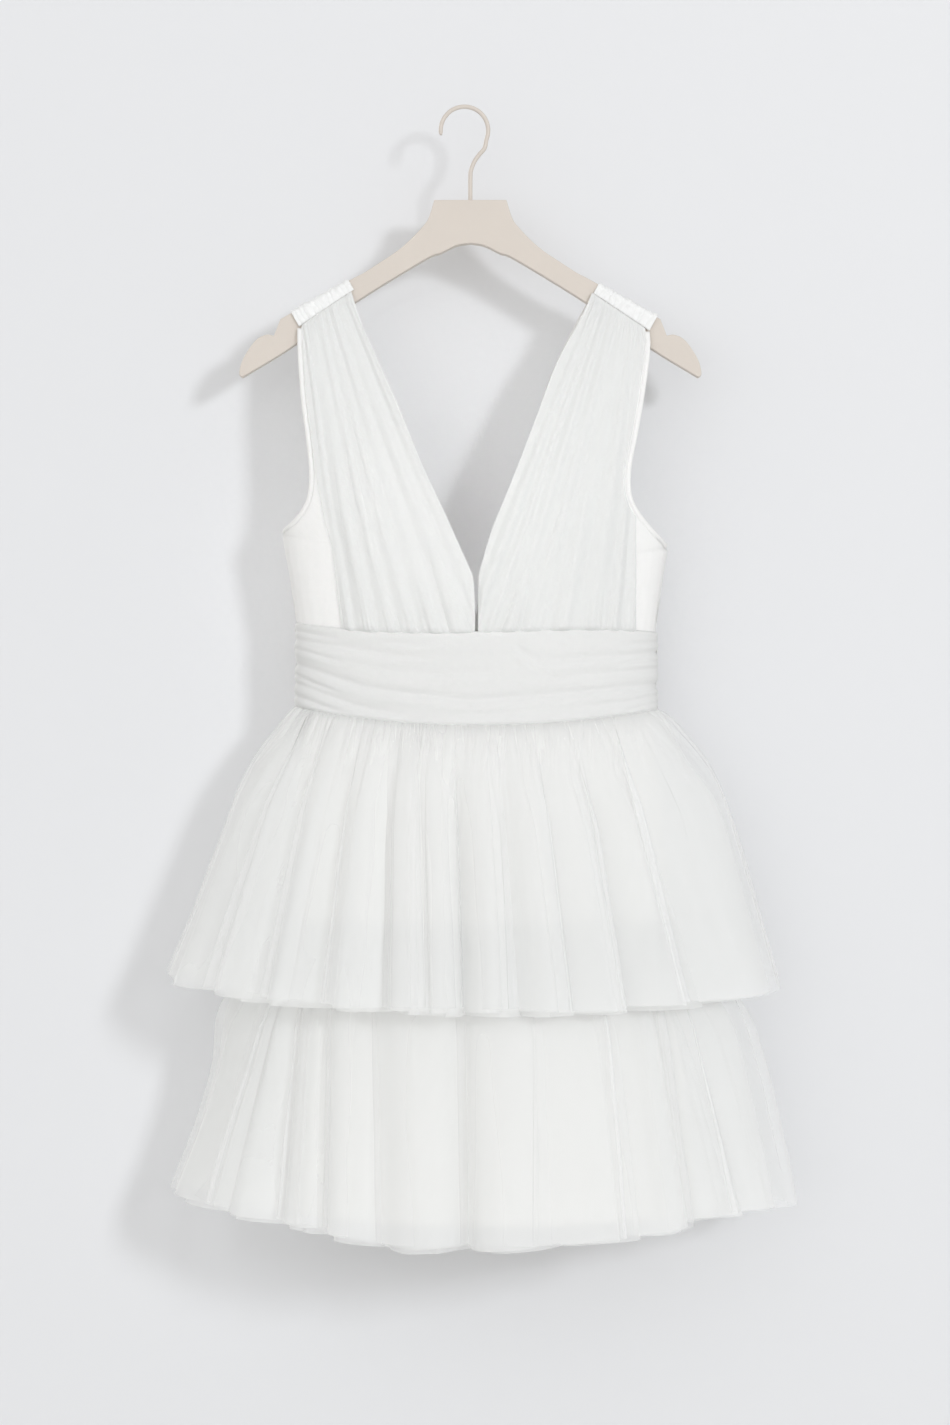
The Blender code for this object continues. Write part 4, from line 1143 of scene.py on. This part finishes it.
def even_folds(rings, hem_z, side_z):
    """Evenly spread folds, for the back, whose hem rises to the sides."""
    folds = []
    for k in range(BACK_FOLDS):
        across = -cos(pi * (k + 0.5) / BACK_FOLDS)
        (top_centre, top_half), (hem_centre, hem_half) = ring_middle(rings, 0.0), ring_middle(rings, 1.0)
        side = side_z[0] if across < 0 else side_z[1]
        hem = hem_z + (side - hem_z) * abs(across) ** 5
        folds.append(Fold(top_centre + top_half * across, hem_centre + hem_half * across, hem, 0.8))
    return folds


class FoldSet:
    """One size of fold: uneven folds along a phase, each with its own height, doubling
    back and lean, and with valleys of their own depth between them."""

    def __init__(self, count, total, seed, doubled, lean, valleys=None):
        random = np.random.default_rng(seed)
        widths = random.uniform(0.45, 1.55, count) if valleys is None else np.ones(count)
        self.ends = total * np.concatenate([[0], np.cumsum(widths)]) / widths.sum()
        self.height = random.uniform(0.75, 1.15, count) * widths**0.5
        self.doubled = random.uniform(*doubled, count)
        outward = np.linspace(-1.5, 1.5, count)
        self.lean = lean * np.clip(outward + random.uniform(-0.5, 0.5, count), -1, 1)
        self.valleys = random.uniform(0.5, 1.2, count + 1) if valleys is None else valleys

    def at(self, phase, along_ring):
        """Outward wave and sideways slide for each point, by its phase. Ridges are broad
        and flat on top, and lean until their outer edge hangs over the next valley."""
        count = len(self.height)
        place = np.interp(phase, self.ends, np.arange(count + 1))
        whole = np.clip(np.floor(place).astype(int), 0, count - 1)
        part = place - whole
        middles = np.arange(count) + 0.5
        height = np.interp(place, middles, self.height)
        doubled = np.interp(place, middles, self.doubled)
        lean = np.interp(place, middles, self.lean)
        widths = np.clip(np.diff(np.interp(self.ends, phase, along_ring)), 3, 70)
        width = np.interp(place, middles, widths)
        top = np.sqrt(np.sin(pi * part) ** 2 + 0.014)
        wave = 0.8 - 2.0 * np.interp(place, np.arange(count + 1), self.valleys) * (1 - top)
        slide = width * (-doubled / (2 * pi) * np.sin(2 * pi * part) + lean * (top - 0.12))
        return wave * height, slide


def tier_half(face, folds, rings, top_of, side_z, steps, ply, seed, calm):
    """One half of a gathered ply as a grid. Broad folds follow the fold table, lesser
    folds ride on them, and tight gathers at the top fade out below."""
    count = len(folds)
    valleys = np.array([0.3] + [f.valley for f in folds])
    lean = BROAD_LEAN_FRONT if face < 0 else BROAD_LEAN_BACK
    broad = FoldSet(count, count, seed, (0.0, 0.4), lean, valleys)
    lesser = FoldSet(round(count * LESSER_PER_FOLD), count, seed + 1, (0.2, 0.7), 0.3)
    gathers = FoldSet(count * GATHERS_PER_FOLD, count, seed + 2, (0.4, 0.9), 0.10)
    heights = np.linspace(0, 1, TIER_ROWS + 1) ** 1.25
    shares = np.linspace(0, 1, steps + 1)
    size = (len(heights), len(shares))
    drift = 0.025 * waves(size, seed + 3, 1.2, 0.6)
    lesser_drift = 0.05 * waves(size, seed + 4, 2.2, 0.6)
    dents = waves(size, seed + 5, 6, 2.2)
    reach = 0.10 + 0.32 * fold_between(shares, *uneven_valleys(24, seed + 6))
    hem_uneven = 1.6 * waves((1, len(shares)), seed + 7, 7, 1)[0]
    hem_centre, hem_half = ring_middle(rings, 1.0)
    hem_shares = [0.0] + [share_of(f.hem_x, hem_centre, hem_half) for f in folds] + [1.0]
    hem_values = [side_z[0]] + [f.hem_z for f in folds] + [side_z[1]]
    hem = np.interp(shares, hem_shares, hem_values) + hem_uneven - PLY_HEM[ply]
    rest = np.clip(np.minimum(shares, 1 - shares) / SEAM_REST, 0, 1)
    calm_sides = np.clip(np.minimum(shares, 1 - shares) / SIDE_CALM, 0, 1)
    grid = np.zeros((*size, 3))
    for r, height in enumerate(heights):
        at = fold_places(folds, rings, height)
        ends = np.concatenate([[0.0], (at[:-1] + at[1:]) / 2, [1.0]])
        keys = np.sort(np.concatenate([ends, at]))
        phase = np.interp(shares, keys, np.arange(len(keys)) / 2)
        centre, half_width = ring_middle(rings, height)
        narrow_left = PLY_IN_LEFT[ply] * min(1.0, height * 5)
        narrow_right = PLY_IN_RIGHT[ply] * min(1.0, height * 5)
        centre += (narrow_left - narrow_right) / 2
        half_width -= (narrow_left + narrow_right) / 2
        depth = ring_field(rings, "front" if face < 0 else "back", height)
        depth -= (2 - ply) * PLY_SPACING * min(1.0, height * 4)
        power = 2 + (FRONT_POWER - 2) * min(1, height * 3) if face < 0 else BACK_POWER
        line, along, out = half_ring(shares, centre, half_width, depth, face, power)
        ring_length = np.concatenate([[0], np.cumsum(np.linalg.norm(np.diff(line, axis=0), axis=1))])
        shifted = np.clip(phase + (drift[r] + (ply - 1) * PLY_SHIFT) * rest, 0, count)
        wave, slide = broad.at(shifted, ring_length)
        less_wave, less_slide = lesser.at(np.clip(phase + lesser_drift[r] * rest, 0, count), ring_length)
        gather_wave, gather_slide = gathers.at(phase, ring_length)
        drop = ring_field(rings, "drop", height)
        fade = np.clip(1 - height / reach, 0, 1) ** 1.4
        opened = min(1.0, 0.12 + height * 2.4)
        push = drop * wave * opened * 0.85
        push += (0.8 + 1.6 * height**0.7) * less_wave * min(1.0, 0.3 + height * 4) * calm_sides
        push += (0.6 + 1.8 * min(1.0, height * 14)) * fade * gather_wave + 1.1 * dents[r] * height
        slide = slide * opened + gather_slide * fade * 0.8
        slide += less_slide * min(1.0, 0.15 + height * 3)
        push, slide = push * rest * calm, slide * calm_sides * calm
        x = line[:, 0] + out[:, 0] * push + along[:, 0] * slide
        y = line[:, 1] + out[:, 1] * push + along[:, 1] * slide
        top = np.array([top_of(value, face) for value in line[:, 0]])
        grid[r] = np.stack([x, y, top + (hem - top) * height], -1)
    return grid


def tier_ply(name, front, back, material):
    """Joins the two halves of a ply into one closed skirt of cloth."""
    for end in (0, -1):
        front[:, end] = (front[:, end] + back[:, end]) / 2
    ring = np.concatenate([front, back[:, -2:0:-1]], axis=1)
    rows, columns = ring.shape[:2]
    closed = np.concatenate([ring, ring[:, :1]], axis=1)
    uvs = cloth_uvs(closed).reshape(rows, columns + 1, 2)[:, :-1].reshape(-1, 2)
    faces = grid_faces(rows, columns, closed=True)
    return mesh_piece(name, in_frame(ring), faces[:, ::-1], material, uvs)


def under_band(x, face):
    """The tier's gathered edge, just behind the lower edge of the waistband."""
    return band_edge(BAND_BOTTOM, x, face) + 1.2


tulle_inside = tulle("white tulle, inner plies", TULLE_WHITE, 0.38)
tulle_outside = tulle("white tulle, outer ply", TULLE_WHITE, 0.26)


def tier(name, folds, rings, top_of, side_z, back_hem_z, first_seed):
    """The three plies of one tier, each a closed skirt; the middle one stands for the
    solids."""
    behind = even_folds(rings, back_hem_z, side_z)
    for ply, layer in enumerate(("inner", "middle", "outer")):
        seed = first_seed + 20 * ply
        front = tier_half(-1, folds, rings, top_of, side_z, FRONT_STEPS, ply, seed, 1.0)
        back = tier_half(1, behind, rings, top_of, side_z, BACK_STEPS, ply, seed + 9, BACK_CALM)
        cloth = tulle_outside if layer == "outer" else tulle_inside
        piece = tier_ply(f"{name}_tulle_{layer}", front, back, cloth)
        if layer == "middle":
            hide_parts(f"{name}_front", f"{name}_back")


tier("upper_tier", UPPER_FOLDS, UPPER_RINGS, under_band, UPPER_SIDE_Z, UPPER_BACK_HEM_Z, 201)


# Lower tier: three plies of the same tulle, gathered onto the lining in a seam that
# the upper tier covers, and cut longer in the middle of the front.
LOWER_TOP_Z = -750.0
LOWER_RINGS = (
    RingRow(1.5, 171.0, 184.0, 78.2, 38.1, 0.0), RingRow(4.0, 200.0, 214.0, 102.0, 39.4, 0.12),
    RingRow(6.0, 231.0, 248.0, 121.0, 40.2, 0.30), RingRow(8.0, 243.0, 270.0, 131.0, 41.5, 0.54),
    RingRow(9.5, 262.0, 285.0, 139.0, 43.0, 0.78), RingRow(10.5, 284.0, 298.0, 146.0, 44.0, 1.0),
)
LOWER_FOLDS = (
    Fold(-165, -257, -1000, 0.4), Fold(-156, -183, -1010, 0.9), Fold(-139, -145, -1016, 0.7),
    Fold(-111, -110, -1024, 0.9), Fold(-62, -52, -1032, 1.8), Fold(41, 34, -1031, 0.5),
    Fold(95, 114, -1027, 0.8), Fold(146, 173, -1022, 1.5), Fold(166, 211, -1012, 0.8),
    Fold(177, 269, -1014, 0.4),
)
LOWER_SIDE_Z = (-994.0, -1015.0)
LOWER_BACK_HEM_Z = -1030.0


def on_lining(x, face):
    """The height of the seam that holds the lower tier on the lining."""
    return LOWER_TOP_Z


tier("lower_tier", LOWER_FOLDS, LOWER_RINGS, on_lining, LOWER_SIDE_Z, LOWER_BACK_HEM_Z, 301)


# Stage: a plain painted wall close behind the dress, a pale floor far below, soft
# daylight from the upper right and from far behind, a weak reflector in front of the
# neck, and a fill from all round. A camera sees the world as plain grey.
WALL_Y = 0.058
WALL_SIZE = 3.4
FLOOR_Z = -2.6
FLOOR_SIZE = 12.0
CAMERA_X = 0.0098
CAMERA_Z = -0.5594
CAMERA_DISTANCE = 2.8
VIEW_HEIGHT = 1.3205
ROOM_WAY = (-0.31, -0.94, 0.14)
ROOM_GLOW = 0.98
BEHIND_GLOW = 0.30
EVEN_GLOW = 0.50
SEEN_GLOW = 0.66
LIGHT_AIM = (0.0, 0.0, -0.55)


def stage_plane(name, corners, material):
    """A flat four-sided face of the stage."""
    mesh = bpy.data.meshes.new(name)
    mesh.from_pydata(corners, [], [(0, 1, 2, 3)])
    mesh.materials.append(material)
    plane = bpy.data.objects.new(name, mesh)
    bpy.context.scene.collection.objects.link(plane)
    plane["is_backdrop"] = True
    return plane


wall_paint, wall_tree, wall_shader = new_material("wall paint")
feed(wall_shader, Base_Color=(0.735, 0.74, 0.755, 1), Roughness=0.9, Specular_IOR_Level=0.1)
clear = wall_tree.nodes.new("ShaderNodeBsdfTransparent")
facing = wall_tree.nodes.new("ShaderNodeNewGeometry")
choice = wall_tree.nodes.new("ShaderNodeMixShader")
for start, end in (
    (facing.outputs["Backfacing"], choice.inputs["Fac"]),
    (wall_shader.outputs[0], choice.inputs[1]),
    (clear.outputs[0], choice.inputs[2]),
    (choice.outputs[0], wall_tree.nodes["Material Output"].inputs["Surface"]),
):
    wall_tree.links.new(start, end)
wall = stage_plane("wall", [
    (WALL_SIZE / 2 * x, WALL_Y, CAMERA_Z + WALL_SIZE / 2 * z)
    for x, z in ((-1, -1), (1, -1), (1, 1), (-1, 1))
], wall_paint)
wall.visible_shadow = False
wall.visible_diffuse = False
wall.visible_glossy = False

floor_paint, _, floor_shader = new_material("pale floor")
feed(floor_shader, Base_Color=(0.78, 0.78, 0.77, 1), Roughness=0.8)
stage_plane("floor", [
    (FLOOR_SIZE / 2 * x, FLOOR_SIZE / 2 * y, FLOOR_Z) for x, y in ((-1, -1), (1, -1), (1, 1), (-1, 1))
], floor_paint)

# Net in many layers needs many transparent bounces, or it turns dark.
cycles = bpy.context.scene.cycles
cycles.transparent_max_bounces = 48
cycles.diffuse_bounces = 8
cycles.max_bounces = 24

world = bpy.data.worlds.new("soft room light")
world.use_nodes = True
sky = world.node_tree
way = sky.nodes.new("ShaderNodeTexCoord").outputs["Generated"]
way_apart = add_node(sky, "ShaderNodeSeparateXYZ", Vector=way)
toward_room = add_node(sky, "ShaderNodeVectorMath", operation="DOT_PRODUCT", Vector=way)
toward_room.inputs[1].default_value = ROOM_WAY
room = maths(sky, "POWER", maths(sky, "MAXIMUM", toward_room.outputs["Value"], 0.0), 3.0)
behind = maths(sky, "POWER", maths(sky, "MAXIMUM", way_apart.outputs["Y"], 0.0), 3.0)
lobes = maths(sky, "ADD", maths(sky, "MULTIPLY", room, ROOM_GLOW),
              maths(sky, "MULTIPLY", behind, BEHIND_GLOW))
glow = maths(sky, "ADD", lobes, EVEN_GLOW)
seen = add_node(sky, "ShaderNodeLightPath").outputs["Is Camera Ray"]
strength = add_node(sky, "ShaderNodeMix", Factor=seen, A=glow, B=SEEN_GLOW).outputs["Result"]
feed(sky.nodes["Background"], Color=(1.0, 0.995, 0.985, 1), Strength=strength)
bpy.context.scene.world = world


def soft_light(name, place, target, size, power, colour, spread=180):
    """A square area light that looks at a point, its beam as wide as spread in degrees."""
    data = bpy.data.lights.new(name, "AREA")
    data.shape = "SQUARE"
    data.size = size
    data.energy = power
    data.color = colour
    data.spread = radians(spread)
    light = bpy.data.objects.new(name, data)
    light.location = place
    light.rotation_euler = (Vector(target) - Vector(place)).to_track_quat("-Z", "Y").to_euler()
    bpy.context.scene.collection.objects.link(light)


soft_light("window", (6.0, -8.0, 2.4), LIGHT_AIM, 1.5, 335.0, (0.95, 0.97, 1.0))
soft_light("reflector", (-0.25, -3.6, 0.7), (-0.01, 0.0, -0.38), 0.2, 0.030, (1.0, 0.99, 0.97), 7)
soft_light("far window", (-5.0, 7.5, 2.6), LIGHT_AIM, 2.0, 300.0, (1.0, 0.99, 0.97))

camera_data = bpy.data.cameras.new("camera")
camera_data.sensor_fit = "AUTO"
camera_data.sensor_width = 36.0
camera_data.lens = 36.0 * CAMERA_DISTANCE / VIEW_HEIGHT
camera = bpy.data.objects.new("camera", camera_data)
camera.location = (CAMERA_X, -CAMERA_DISTANCE, CAMERA_Z)
camera.rotation_euler = (radians(90), 0, 0)
bpy.context.scene.collection.objects.link(camera)
bpy.context.scene.camera = camera
bpy.context.scene.view_settings.view_transform = "Standard"

low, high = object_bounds()
